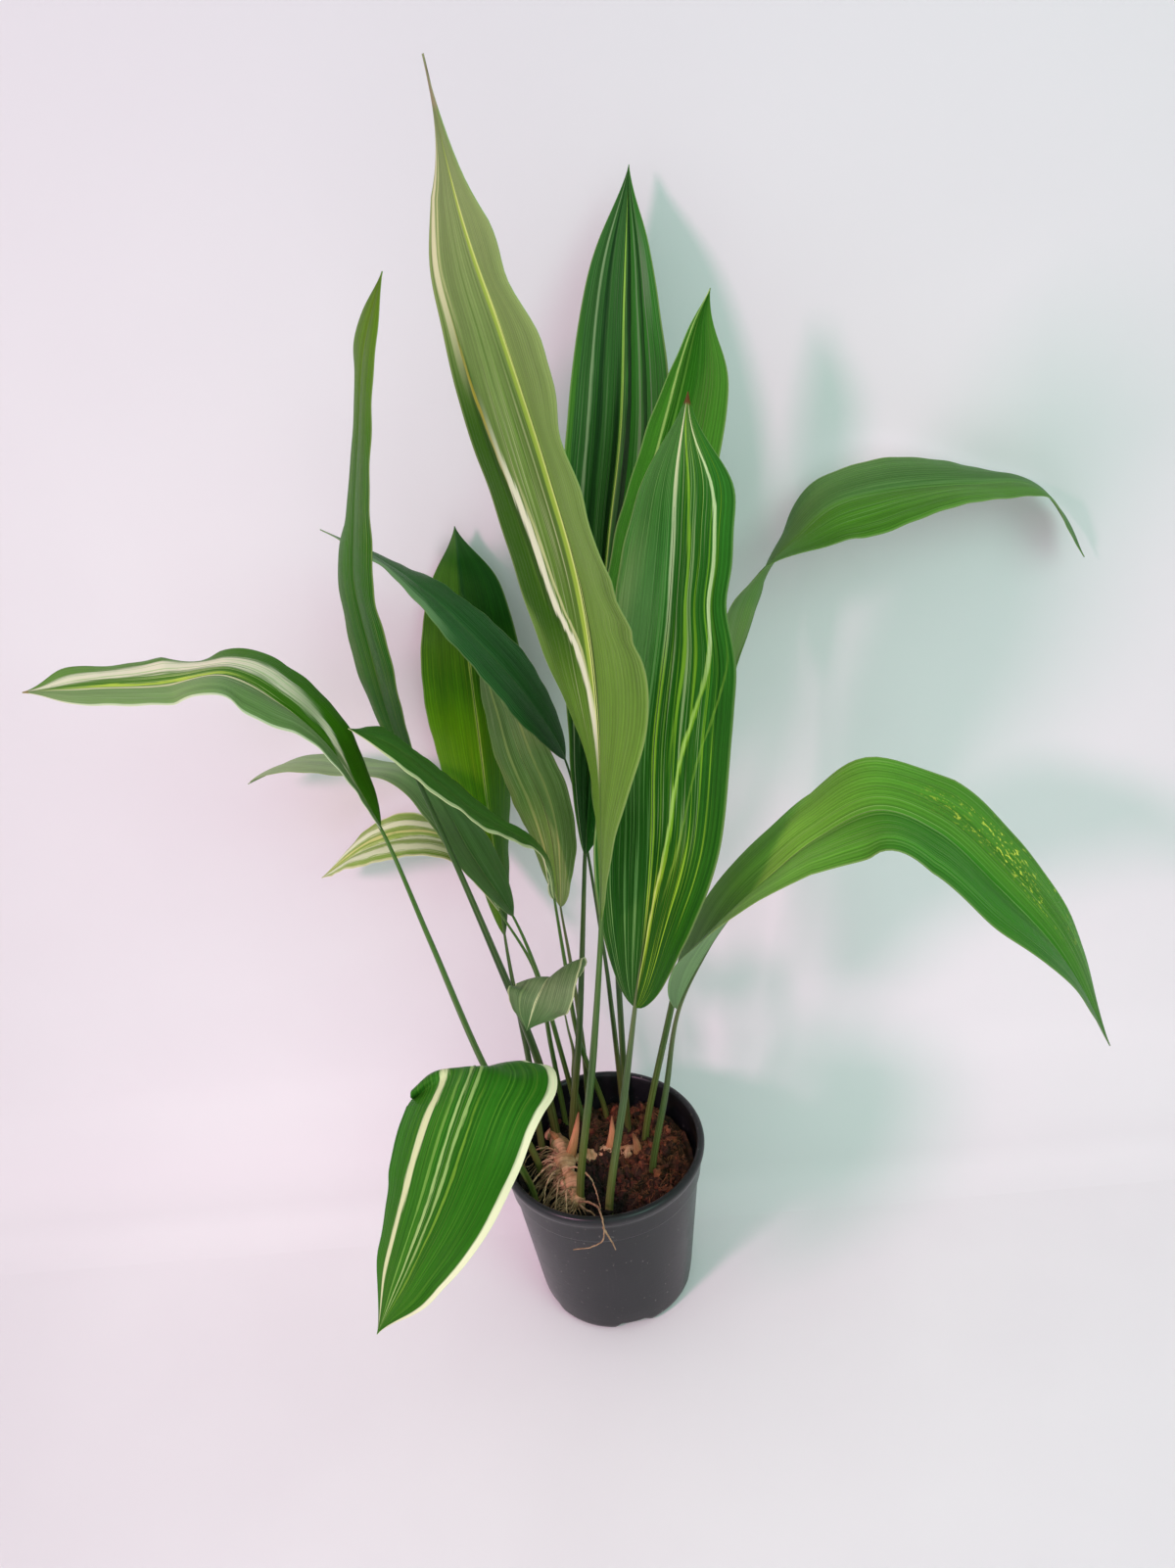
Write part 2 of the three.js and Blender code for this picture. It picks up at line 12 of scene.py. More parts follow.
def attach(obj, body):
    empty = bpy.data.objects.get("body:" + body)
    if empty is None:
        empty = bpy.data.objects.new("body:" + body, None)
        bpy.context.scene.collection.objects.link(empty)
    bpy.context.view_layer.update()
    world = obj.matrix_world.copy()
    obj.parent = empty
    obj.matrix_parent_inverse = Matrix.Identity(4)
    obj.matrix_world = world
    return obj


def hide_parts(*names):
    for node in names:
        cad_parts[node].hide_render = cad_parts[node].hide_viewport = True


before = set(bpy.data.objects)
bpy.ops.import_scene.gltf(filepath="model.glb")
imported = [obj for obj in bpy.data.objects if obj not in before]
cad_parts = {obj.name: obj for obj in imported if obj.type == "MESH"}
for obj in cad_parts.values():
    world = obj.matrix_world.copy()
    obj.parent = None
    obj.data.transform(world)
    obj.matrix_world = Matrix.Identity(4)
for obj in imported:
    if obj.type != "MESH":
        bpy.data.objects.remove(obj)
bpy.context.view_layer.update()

MM = 0.001

# Camera of the photograph: its place in metres, lens and sensor in millimetres, angles in degrees
CAMERA_PLACE = (0.019, -0.646, 0.771)
CAMERA_PITCH = 27.7
CAMERA_ROLL = -6.5
CAMERA_LENS = 27.05
SENSOR_SIZE = 36.0

# Stage, in metres: the ends of the wall's foot, its sweep, the floor and the sky
WALL_LEFT = (-3.0, 0.262)
WALL_RIGHT = (3.0, 0.022)
SWEEP_RADIUS = 0.1
FLOOR_HALF = 8.0
SKY_COLOUR = (0.85, 1.0, 0.965, 1.0)
SKY_STRENGTH = 0.77

# Pot, in millimetres, as in the solids
RIM_DIAMETER = 150
POT_HEIGHT = 137
BASE_DIAMETER = 114
WALL = 2
LIP_WIDTH = 5.5
LIP_DEPTH = 6
COLLAR_HEIGHT = 25
FOOT_RADIUS = 9
NOTCH_HEIGHT = 5
NOTCH_WIDTH = 30
NOTCH_COUNT = 5
NOTCH_FIRST_ANGLE = -82
NOTCH_INNER_RADIUS = 46
NOTCH_ROOM = 14
COLLAR_INSET = 4
POT_SIDES = 240

# Filling, in millimetres: its level, the stalks' depth in it, the room it leaves
# to the pot, and how many pieces lie on it, with the least and greatest sizes
SOIL_LEVEL = 112
STALK_DEPTH = 28
SOIL_ROOM = 0.6
SOIL_EDGE_DROP = 8
LUMP_COUNT = 1500
SMALL_LUMP_SHARE = 0.86
SMALL_LUMP = (0.8, 2.2)
LARGE_LUMP = (2.4, 4.2)
CHIP_COUNT = 34
CHIP = (3.5, 6.5)
FIBRE_COUNT = 900
FIBRE_LENGTH = (3, 10)
FIBRE_BEND = (-2.5, 2.5)
FIBRE_RADIUS = (0.16, 0.34)

# Fine roots: how many, their headings' middle and spread in degrees, and sizes
FINE_ROOT_COUNT = 170
FINE_ROOT_HEADING = (205, 42)
FINE_ROOT_REACH = (10, 30)
FINE_ROOT_ARCH = (1.5, 8)
FINE_ROOT_BEND = (-5, 5)
FINE_ROOT_RADIUS = (0.36, 0.85)

# Blades, in millimetres and shares of the length. The half widths are the least
# at the foot and the tip; MIDRIB_GROOVE is a place across, a depth and a width.
BLADE_ROWS = 120
HALF_COLUMNS = 16
BLADE_THICKNESS = 0.7
EDGE_THINNING = 0.5
BLADE_BOW = 2.0
EDGE_WAVE = 0.8
FOOT_HALF_WIDTH = 1.05
TIP_HALF_WIDTH = 0.15
TIP_SHARE = 0.16
TIP_POWER = 1.15
MIDRIB_GROOVE = (0.0, 0.5, 0.05)

# Stalks, and the rib that each runs on as: shares are of the blade's length
STALK_SIDES = 16
STALK_RINGS = 90
STALK_END = 0.15
RIB_SINKS = 0.12
RIB_DEPTH = 0.75
RIB_END = 0.8
RIB_RADIUS = 0.45
RIB_TIP_RADIUS = 0.2

# Surface of the blades: gloss, ribs across a blade, and how softly marks end
LEAF_GLOSS = 0.1
RIB_COUNT = 34
STREAK_EDGE = 0.03
STREAK_FADE = 0.12
BAND_FADE = 0.15

# The values between which a noise mostly lies
NOISE_RANGE = (0.3, 0.7)

rim_radius = RIM_DIAMETER / 2
base_radius = BASE_DIAMETER / 2
collar_bottom = POT_HEIGHT - COLLAR_HEIGHT
wall_slope = (rim_radius - LIP_WIDTH - base_radius) / collar_bottom


def leaf_form(width, foot, spine, left, right, stalk=5, blade=4, across=0, widest=0.5, full=0.7,
              taper=(0.0, 0.0), trims=(), bumps=(), grooves=()):
    """The form of one leaf, as in the solids, with small changes to its even shape.

    foot, spine: where the stalk leaves the compost, and the midline from there to the tip.
    left, right: how far each half is lifted, from foot to tip, in degrees.
    stalk: its thickness. blade: the midline's point where the stalk widens.
    across: the compass direction of the right half.
    widest, full: where the blade is widest, and how slowly it widens up to there.
    taper: where a slender tip starts, and how slender it is.
    trims: at a share of the length, over how much of it, on which side (1 right,
    -1 left, 0 both), and by what share the half grows wider.
    bumps: share of the length, its spread, place across, its spread, and the rise.
    grooves: place across, depth and width.
    """
    x, y = foot
    spine = [(x, y, SOIL_LEVEL - STALK_DEPTH), (x, y, SOIL_LEVEL)] + spine
    return dict(width=width, spine=spine, left=left, right=right, stalk=stalk, blade=blade, across=across,
                widest=widest, full=full, taper=taper, trims=trims, bumps=bumps, grooves=grooves)


leaves = {
    "leaf_01": leaf_form(
        width=76, widest=0.47, full=0.85, stalk=7, blade=3, foot=(-20, -28), taper=(0.9, 0.8),
        spine=[(2, -40, 248), (18, -60, 371), (24, -78, 446), (28, -104, 530), (26, -132, 600),
               (17, -162, 664), (7, -190, 719), (-1, -212, 760), (-5, -235, 804)],
        left=(-88, -83, -47, -33, -25, -70), right=(85, 79, 52, 65, 52, 60),
        trims=[(0.9, 0.02, 1, 0.2), (0.852, 0.022, 1, -0.22), (0.815, 0.02, 1, 0.1),
               (0.715, 0.04, 1, -0.28), (0.64, 0.03, 1, -0.14), (0.585, 0.012, 1, 0.07),
               (0.55, 0.012, 1, -0.05), (0.52, 0.012, 1, 0.06), (0.49, 0.012, 1, -0.05),
               (0.85, 0.04, -1, 0.15)]),
    "leaf_02": leaf_form(
        width=72, stalk=7, blade=3, foot=(-23, 32),
        spine=[(-7, 33, 215), (12, 38, 359), (20, 43, 417), (31, 50, 476), (48, 64, 562), (63, 78, 629),
               (73, 96, 701), (83, 118, 767)],
        left=(62, 56, 46, 20, 0, 0), right=(10, 20, 25, 30, 40, 50),
        grooves=[(0.17, 2.6, 0.08), (-0.42, 1.6, 0.12), (0.52, 1.6, 0.08), (-0.8, 1.0, 0.08)]),
    "leaf_03": leaf_form(
        width=72, widest=0.6, stalk=6, blade=3, foot=(20, 32),
        spine=[(25, 22, 263), (29, 18, 370), (38, 18, 448), (51, 22, 523), (64, 28, 574), (90, 38, 643),
               (105, 45, 682), (117, 50, 703)],
        left=(40, 50, 60, 65, 67, 80), right=(0, 0, 0, 5, 10, 20)),
    "leaf_04": leaf_form(
        width=84, full=0.6, stalk=7, blade=3, foot=(0, -44),
        spine=[(21, -46, 225), (33, -50, 295), (44, -56, 359), (52, -62, 420), (58, -66, 487),
               (70, -68, 556), (75, -66, 591), (80, -62, 631), (89, -55, 668)],
        left=(-29, -25, -43, -51, -45, -60), right=(53, 50, 14, 22, 28, 5),
        trims=[(0.91, 0.06, 1, 0.3), (0.73, 0.05, 1, -0.16)]),
    "leaf_05": leaf_form(
        width=66, widest=0.4, across=-75, stalk=6, foot=(32, 20),
        spine=[(63, 30, 236), (96, 42, 363), (120, 55, 469), (133, 60, 500), (148, 66, 535),
               (168, 70, 552), (190, 75, 566), (218, 80, 570), (286, 95, 565), (332, 105, 555),
               (369, 110, 503)],
        left=(-30, -29, 15, 27, 9, 50), right=(90, 84, 40, 0, -29, -20, -9, -13, -17, -24, -30),
        trims=[(0.93, 0.05, 0, 0.7)]),
    "leaf_06": leaf_form(
        width=80, full=0.6, across=-80, stalk=6, blade=3, foot=(34, -14),
        spine=[(49, -20, 194), (62, -30, 273), (82, -38, 323), (102, -46, 359), (124, -54, 387),
               (148, -62, 412), (181, -72, 432), (211, -82, 420), (244, -92, 385), (280, -100, 339),
               (315, -105, 269)],
        left=(20, 5, 0, 45, 47, 40), right=(90, 45, 15, -25, -18, -15)),
    "leaf_07": leaf_form(
        width=62, stalk=8, foot=(-36, 39),
        spine=[(-40, 38, 178), (-61, 30, 303), (-85, 12, 438), (-94, 8, 479), (-97, 2, 529),
               (-98, -2, 576), (-92, -5, 607), (-80, -10, 654), (-67, -14, 702), (-52, -18, 734)],
        left=(-50, -53, -62, -78, -78, -60), right=(50, 55, 62, 68, 70, 62)),
    "leaf_08": leaf_form(
        width=72, full=0.65, across=80, stalk=6, foot=(-50, 8),
        spine=[(-75, -4, 222), (-93, -16, 340), (-107, -28, 433), (-117, -34, 469), (-126, -40, 498),
               (-142, -47, 526), (-164, -56, 551), (-192, -66, 553), (-223, -78, 560), (-255, -92, 567)],
        left=(25, 27, 25, 3, 7, 3), right=(3, 5, -1, -7, -1, 10),
        trims=[(0.93, 0.05, 0, 0.35)],
        bumps=[(0.69, 0.06, 0.9, 0.6, 5.5), (0.56, 0.05, 0.9, 0.6, -4.5)]),
    "leaf_09": leaf_form(
        width=64, across=70, foot=(18, 55),
        spine=[(18, 58, 206), (17, 56, 269), (6, 54, 424), (-12, 52, 470), (-38, 52, 512), (-66, 53, 549),
               (-95, 55, 575), (-123, 58, 593)],
        left=(0, 0, 5, 12, 22, 25), right=(5, 3, 0, -10, -25, -30),
        trims=[(0.9, 0.07, 0, 0.8)]),
    "leaf_10": leaf_form(
        width=76, widest=0.55, stalk=6, foot=(-47, 26),
        spine=[(-48, 42, 181), (-52, 58, 237), (-54, 72, 277), (-54, 92, 337), (-54, 98, 372),
               (-53, 107, 432), (-52, 114, 482), (-50, 121, 534), (-49, 126, 568)],
        left=(-47, -43, -31, -19, -23, -45), right=(-70, -70, -50, -13, 0, -35)),
    "leaf_11": leaf_form(
        width=62, widest=0.45, foot=(-9, 56),
        spine=[(-7, 58, 171), (-8, 58, 254), (-10, 58, 306), (-10, 60, 365), (-14, 62, 393),
               (-23, 67, 423), (-30, 73, 458), (-41, 80, 498)],
        left=(-55, -55, -45, -46, -44, -40), right=(60, 60, 50, 40, 35, 30)),
    "leaf_12": leaf_form(
        width=60, across=60, foot=(-18, 51),
        spine=[(-24, 51, 180), (-33, 50, 258), (-44, 50, 308), (-59, 51, 344), (-69, 54, 368),
               (-81, 59, 403), (-95, 65, 420), (-133, 80, 423), (-182, 98, 424), (-222, 112, 404)],
        left=(20, 20, 15, 15, 8, 5), right=(15, 5, -40, -20, -14, -10),
        trims=[(0.93, 0.07, 0, 0.9)]),
    "leaf_13": leaf_form(
        width=64, across=70, foot=(-28, 48),
        spine=[(-31, 57, 180), (-35, 64, 247), (-55, 68, 302), (-72, 77, 342), (-81, 82, 353),
               (-104, 92, 357), (-143, 106, 345), (-188, 118, 316)],
        left=(30, 25, 5, 0, 0, 0), right=(0, -10, -20, 10, 15, 10),
        trims=[(0.2, 0.1, 1, -0.4)]),
    "leaf_14": leaf_form(
        width=62, widest=0.55, full=0.65, across=75, foot=(4, 55),
        spine=[(-9, 46, 194), (-11, 34, 273), (-12, 24, 336), (-12, 16, 366), (-20, 4, 391),
               (-38, -12, 415), (-52, -26, 438), (-67, -42, 468), (-85, -58, 500), (-104, -72, 519)],
        left=(0, 12, 42, 33, 25, 12), right=(-10, -35, -30, -30, -30, -30)),
    "leaf_15": leaf_form(
        width=52, across=180, stalk=4, blade=5, foot=(-13, 43),
        spine=[(-17, 45, 156), (-14, 38, 189), (-15, 28, 219), (-16, 6, 263), (-20, -14, 299),
               (-29, -30, 296), (-39, -34, 273)],
        left=(25, 30, 20, 20, 0, -20), right=(30, 0, 0, -25, -28, -28)),
    "leaf_16": leaf_form(
        width=84, full=0.65, across=165, stalk=6, blade=3, foot=(-54, -20),
        spine=[(-67, -60, 218), (-71, -88, 266), (-68, -112, 310), (-61, -135, 334), (-66, -158, 334),
               (-76, -180, 321), (-86, -200, 305), (-101, -218, 281), (-120, -236, 253)],
        left=(30, 27, 23, 10, -8, -4, -3, 9, 25, 31, 35), right=(-20, -33, -27, -25, -33, -36),
        trims=[(0.4, 0.07, -1, 0.16)],
        bumps=[(0.3, 0.08, 0.6, 0.35, 4.0), (0.36, 0.035, -0.55, 0.3, -4.0),
               (0.3, 0.06, -0.25, 0.25, -2.0)]),
}


def band(colour, half, strength, middle, start=-0.1, end=1.1, ragged=0.5):
    """A stripe along a blade: half its width, its strength, its middle (a number, or a list of
    share of the length and place across, from -1 to 1), where it fades and how torn its edges are"""
    if not isinstance(middle, list):
        middle = [(0.0, middle), (1.0, middle)]
    return dict(colour=colour, half=half, strength=strength, middle=middle, start=start, end=end,
                ragged=ragged)


def streaks(colour, strength, count, low=-1.0, high=1.0, start=-0.1, end=1.1):
    """Fine broken lines between two places across a blade"""
    return dict(colour=colour, strength=strength, count=count, low=low, high=high, start=start, end=end)


# How each blade is marked. tones: its green from foot to tip. left, right:
# the colour that each half leans to, and how far; on some leaves this is partly
# painted sheen and shade, as each half catches or misses the light. under: its underside.
# stalk: which of the stalk looks it has. margin: the edge's colour, its width
# across, its strength and the side, left or both. tip: the dry tip's colour
# and start. specks: their colour, strength, and the places across and along
# between which they lie.
looks = {
    "leaf_01": dict(
        tones=[(0.0, "5f8a24"), (0.4, "5f8a28"), (0.7, "7c9c50"), (1.0, "b8c48c")],
        # the pale sage right tint is painted sheen
        left=("5f8830", 0.45), right=("6c943c", 0.5), under="7f9460", stalk="green",
        tip=("b5aa84", 0.965),
        bands=[band("2c5a02", 0.34, 0.95, [(0.0, -0.75), (0.4, -0.5), (0.5, -0.8), (0.7, -0.92),
                    (1.0, -1.1)], start=0.32, end=0.84, ragged=0.2),
               band("284c0c", 0.07, 0.85, [(0.0, -0.2), (0.4, -0.24), (0.5, -0.52), (0.6, -0.59),
                    (0.7, -0.7), (1.0, -0.85)], start=0.36, end=0.84, ragged=0.3),
               band("e6eec8", 0.06, 1.0, [(0.0, -0.02), (0.3, -0.05), (0.4, -0.15), (0.5, -0.43),
                    (0.6, -0.51), (0.7, -0.63), (1.0, -0.85)], start=0.2, end=0.76),
               band("c2cf8c", 0.025, 0.9, [(0.0, -0.1), (0.4, -0.1), (0.5, -0.33), (0.6, -0.42),
                    (1.0, -0.6)], start=0.3, end=0.7),
               band("a8a034", 0.025, 0.9, [(0.0, -0.55), (0.6, -0.58), (0.7, -0.66), (0.78, -0.75),
                    (1.0, -0.9)], start=0.6, end=0.86),
               band("dfe3b0", 0.07, 0.95, [(0.0, -0.6), (0.8, -0.82), (0.87, -0.88), (1.0, -0.95)],
                    start=0.72, ragged=0.3),
               band("c6d28e", 0.03, 0.9, [(0.0, -0.5), (0.8, -0.7), (0.87, -0.76), (1.0, -0.5)],
                    start=0.76, ragged=0.4),
               band("dff08c", 0.04, 1.0, 0.0, ragged=0.15),
               band("a8cc48", 0.03, 0.8, -0.05, start=0.3, ragged=0.2),
               band("35541c", 0.035, 0.85, 0.055, start=0.2, end=0.85, ragged=0.2)],
        streaks=[streaks("bac690", 0.85, 30, -0.5, -0.06, start=0.25, end=0.8),
                 streaks("4f7a26", 0.7, 34, -0.5, -0.05), streaks("8fae62", 0.35, 46, 0.05, 1.0),
                 streaks("42700f", 0.5, 40, -1.0, -0.5)]),
    "leaf_02": dict(
        tones=[(0.0, "123c08"), (0.4, "1f5014"), (0.7, "2f5f24"), (1.0, "3a6430")],
        left=("2a5f22", 0.6), right=("2c7c20", 0.75), under="5f7d55", stalk="dark",
        bands=[band("4a8420", 0.08, 0.6, -0.95, end=0.85), band("7f9c6c", 0.035, 0.85, -0.62, start=0.15),
               band("a0cc58", 0.03, 1.0, 0.0, start=0.1, ragged=0.2),
               band("0c2c10", 0.07, 0.9, 0.14, start=0.1), band("6f8c62", 0.025, 0.7, 0.42, start=0.2),
               band("0f3410", 0.06, 0.8, 0.52, start=0.1), band("6a8460", 0.02, 0.7, 0.66, start=0.2),
               # painted sheen: a grey patch high on the right half
               band("8c9884", 0.14, 0.6, 0.74, start=0.76, end=0.95, ragged=0.9),
               band("0f3410", 0.06, 0.8, -0.42, start=0.1), band("a8bc8c", 0.02, 0.8, -0.8, end=0.5),
               band("0c2c10", 0.045, 0.8, -0.1, start=0.1, end=0.8)],
        streaks=[streaks("6f9560", 0.5, 46), streaks("0e2e0e", 0.6, 34)]),
    "leaf_03": dict(
        tones=[(0.0, "3a6c14"), (0.5, "447a1c"), (1.0, "4f8428")],
        left=("54942a", 0.5), right=("3c8020", 0.55), under="6a8a55", stalk="dark",
        bands=[band("c2d478", 0.1, 1.0, [(0.0, -0.15), (0.5, -0.2), (0.75, -0.35), (0.88, -0.6),
                    (1.0, -1.0)], start=0.4, ragged=0.3),
               band("8fb84c", 0.03, 0.6, 0.1, start=0.3)],
        streaks=[streaks("7fa64e", 0.4, 40, -0.6, 0.9), streaks("245810", 0.5, 34)]),
    "leaf_04": dict(
        tones=[(0.0, "0f3f00"), (0.22, "184c02"), (0.5, "357020"), (0.8, "3f8030"), (1.0, "478434")],
        left=("4a8438", 0.15), right=("2c6810", 0.5), under="78915c", stalk="sage", tip=("6d3b1e", 0.982),
        # the first band is painted sheen: a broad pale patch over the left half
        bands=[band("84b068", 0.42, 0.6, -0.55, start=0.36, end=0.86, ragged=0.3),
               band("a9d03f", 0.035, 1.0, 0.0, start=0.1, end=0.78, ragged=0.3),
               band("e2e6b4", 0.045, 1.0, 0.0, start=0.6, ragged=0.3),
               band("9fca34", 0.036, 0.8, [(0.0, 0.03), (0.2, 0.14), (0.35, 0.24), (0.48, 0.345),
                    (0.57, 0.49), (0.65, 0.62), (0.72, 0.7), (0.84, 0.69), (0.9, 0.6), (1.0, 0.4)],
                    end=0.8, ragged=0.7),
               band("d0e878", 0.022, 0.85, [(0.0, 0.03), (0.2, 0.12), (0.35, 0.22), (0.48, 0.34),
                    (0.57, 0.48), (0.65, 0.61), (1.0, 0.7)], end=0.68, ragged=0.7),
               band("e4eab0", 0.032, 1.0, [(0.0, 0.3), (0.57, 0.49), (0.65, 0.62), (0.72, 0.7),
                    (0.84, 0.69), (0.9, 0.6), (1.0, 0.4)], start=0.58, ragged=0.4),
               band("a4c84a", 0.018, 0.35, [(0.0, 0.1), (0.3, 0.36), (0.48, 0.56), (0.6, 0.78),
                    (0.7, 0.92), (1.0, 0.9)], start=0.2, end=0.74, ragged=0.6),
               band("9cc83a", 0.03, 0.85, [(0.0, 0.1), (0.5, 0.22), (0.7, 0.3), (0.9, 0.22), (1.0, 0.1)],
                    start=0.45, ragged=0.7)],
        streaks=[streaks("9cc834", 0.85, 27, 0.1, 0.8), streaks("164a08", 0.8, 26, 0.02, 1.0),
                 streaks("ccdc98", 0.65, 32, 0.06, 0.62, start=0.3),
                 streaks("8cbc6c", 0.7, 38, -1.0, 0.0), streaks("1c5a10", 0.75, 32, -1.0, 0.0)]),
    "leaf_05": dict(
        tones=[(0.0, "3f6f10"), (0.25, "4a7a1a"), (0.6, "5b8438"), (1.0, "587c44")],
        left=("567a48", 0.5), right=("4f8412", 0.5), under="6f8f55", stalk="green",
        bands=[band("7fa45a", 0.02, 0.6, 0.0)],
        streaks=[streaks("84a862", 0.45, 34), streaks("2f5c14", 0.45, 26)]),
    "leaf_06": dict(
        tones=[(0.0, "7c9478"), (0.14, "7c9a64"), (0.24, "80b04c"), (0.36, "86cc48"), (0.5, "4f9028"),
               (0.56, "3a7c1c"), (1.0, "2f6c0e")],
        left=("6a9c34", 0.3), right=("35741a", 0.3), under="7c966a", stalk="sage",
        specks=("d9dc50", 1.0, -0.99, -0.2, 0.5, 0.88),
        bands=[band("8db063", 0.02, 0.6, 0.0)],
        streaks=[streaks("9cba70", 0.4, 50), streaks("1d5210", 0.4, 40)]),
    "leaf_07": dict(
        tones=[(0.0, "1c5404"), (0.35, "1c6400"), (0.7, "367002"), (1.0, "6d8c20")],
        left=("387404", 0.3), right=("2a6802", 0.3), under="6f8a50", stalk="dark",
        bands=[band("6fa428", 0.04, 0.3, 0.0)],
        streaks=[streaks("8aa040", 0.4, 44), streaks("2a4e08", 0.5, 34)]),
    "leaf_08": dict(
        tones=[(0.0, "3a7008"), (0.45, "447414"), (0.7, "6f9440"), (1.0, "93a860")],
        # the sage left tint is painted sheen on the near half
        left=("7e9860", 0.7), right=("3f7410", 0.6), under="8fa276", stalk="green",
        margin=("e3e8c2", 0.05, 0.85, "left"), tip=("a08a52", 0.985),
        bands=[band("f4e6cc", 0.21, 1.0, [(0.0, 0.0), (0.18, 0.12), (0.35, 0.36), (0.6, 0.46),
                    (0.8, 0.46), (1.0, 0.2)], start=0.3, ragged=0.4),
               band("f4e6cc", 0.1, 1.0, [(0.0, -0.1), (0.18, 0.06), (0.35, 0.34), (1.0, 0.4)], end=0.42,
                    ragged=0.4),
               band("b9c68c", 0.02, 0.85, [(0.0, 0.0), (0.35, 0.3), (0.6, 0.38), (0.8, 0.37),
                    (1.0, 0.12)], start=0.3, ragged=0.9),
               band("c3cd98", 0.016, 0.75, [(0.0, 0.0), (0.35, 0.43), (0.6, 0.53), (0.8, 0.54),
                    (1.0, 0.3)], start=0.3, ragged=0.9),
               band("ecdfb4", 0.055, 1.0, [(0.0, -0.1), (0.3, -0.14), (0.6, -0.12), (0.8, -0.2),
                    (1.0, 0.0)]),
               band("4f7a22", 0.05, 0.8, [(0.0, 0.1), (0.3, 0.1), (0.7, 0.12), (1.0, 0.1)], ragged=0.7),
               band("c8d850", 0.04, 0.9, [(0.0, 0.0), (0.6, 0.04), (0.8, 0.02), (1.0, 0.0)], start=0.5,
                    end=0.96, ragged=1.2)],
        streaks=[streaks("d2dc8c", 0.8, 34, -0.15, 0.3, start=0.3),
                 streaks("b4c494", 0.55, 24, -1.0, -0.2), streaks("44741c", 0.6, 36, end=0.7)]),
    "leaf_09": dict(
        tones=[(0.0, "1c4f14"), (0.5, "2a5f26"), (1.0, "35652c")],
        left=("336630", 0.3), right=("24581f", 0.3), under="5f8050", stalk="dark",
        bands=[band("5f8a52", 0.022, 0.5, 0.0), band("86a874", 0.3, 0.65, -1.0, start=0.5, ragged=0.3)],
        streaks=[streaks("5c855a", 0.4, 30), streaks("103c10", 0.4, 22)]),
    "leaf_10": dict(
        # the near-black tone around 0.78 of the length is painted shade
        tones=[(0.0, "3a6410"), (0.3, "447806"), (0.56, "549002"), (0.66, "3a7008"), (0.78, "0c380a"),
               (0.92, "1c4a18"), (1.0, "4a7044")],
        left=("52880a", 0.35), right=("1f5008", 0.45), under="587a3c", stalk="dark",
        bands=[band("a3bc50", 0.03, 0.9, 0.0, end=0.8)],
        streaks=[streaks("86ac20", 0.4, 44, end=0.75), streaks("1c4804", 0.5, 36)]),
    "leaf_11": dict(
        tones=[(0.0, "5a8a2c"), (0.5, "7a9c50"), (1.0, "7f9464")],
        left=("74964c", 0.3), right=("7f9c5c", 0.3), under="7f9468", stalk="sage",
        bands=[band("b4c070", 0.05, 0.7, -0.35), band("aabc70", 0.03, 0.7, 0.0),
               band("b4c070", 0.05, 0.6, 0.4)],
        streaks=[streaks("b9c690", 0.5, 34), streaks("48682c", 0.5, 30)]),
    "leaf_12": dict(
        # the pale grey-green towards the tip is painted sheen
        tones=[(0.0, "2f6420"), (0.3, "5a8444"), (0.55, "8fae78"), (1.0, "aabc90")],
        left=("86a268", 0.4), right=("74965c", 0.4), under="8ba36c", stalk="green",
        bands=[band("9fb874", 0.03, 0.6, 0.0)],
        streaks=[streaks("a8bc8a", 0.4, 34), streaks("4a7438", 0.45, 30)]),
    "leaf_13": dict(
        tones=[(0.0, "6b9438"), (0.5, "96bc54"), (1.0, "aac858")],
        left=("7fa844", 0.3), right=("74a03c", 0.3), under="93a970", stalk="green",
        margin=("e6e9b4", 0.06, 0.8, "both"),
        bands=[band("e8f6c8", 0.17, 1.0, -0.6, ragged=0.7), band("e8f6c8", 0.13, 1.0, -0.1, ragged=0.7),
               band("e8f6c8", 0.15, 1.0, 0.5, ragged=0.7), band("d9e08c", 0.05, 0.9, 0.2, ragged=0.9)],
        streaks=[streaks("dfe4ac", 0.6, 30), streaks("5a8a2c", 0.5, 30)]),
    "leaf_14": dict(
        tones=[(0.0, "7c9c48"), (0.25, "427420"), (1.0, "3f6c24")],
        left=("3c6c18", 0.4), right=("457830", 0.3), under="7c9660", stalk="green",
        margin=("dde0ac", 0.09, 0.9, "left"),
        bands=[band("dce8a4", 0.14, 0.95, -0.6, end=0.34, ragged=0.8),
               band("cfd694", 0.08, 0.8, -0.25, end=0.24), band("8fae58", 0.02, 0.6, 0.0)],
        streaks=[streaks("d5daa2", 0.7, 18, -1.0, 0.1, end=0.32), streaks("739a4a", 0.35, 28),
                 streaks("234f0c", 0.4, 22, start=0.25)]),
    "leaf_15": dict(
        tones=[(0.0, "4f7035"), (0.4, "4c7238"), (0.62, "7f8f68"), (1.0, "3f6a35")],
        left=("55763c", 0.3), right=("4c723a", 0.3), under="6f8658", stalk="sage",
        margin=("c9d29c", 0.04, 0.7, "both"),
        bands=[band("cfd6a0", 0.035, 0.8, 0.0), band("8aa468", 0.03, 0.5, 0.5)],
        streaks=[streaks("8aa06c", 0.35, 18), streaks("2f5424", 0.4, 16)]),
    "leaf_16": dict(
        tones=[(0.0, "4f8030"), (0.4, "30701c"), (0.75, "2c6c0e"), (1.0, "3f7c1a")],
        left=("2a6a0c", 0.4), right=("3a7a1c", 0.3), under="8aa36c", stalk="green",
        margin=("ebeec2", 0.09, 1.0, "left"),
        bands=[band("dfe6b0", 0.07, 0.95, [(0.0, 0.3), (0.35, 0.44), (0.7, 0.52), (1.0, 0.62)],
                    ragged=0.35),
               band("a8c878", 0.022, 0.9, 0.05, ragged=0.8),
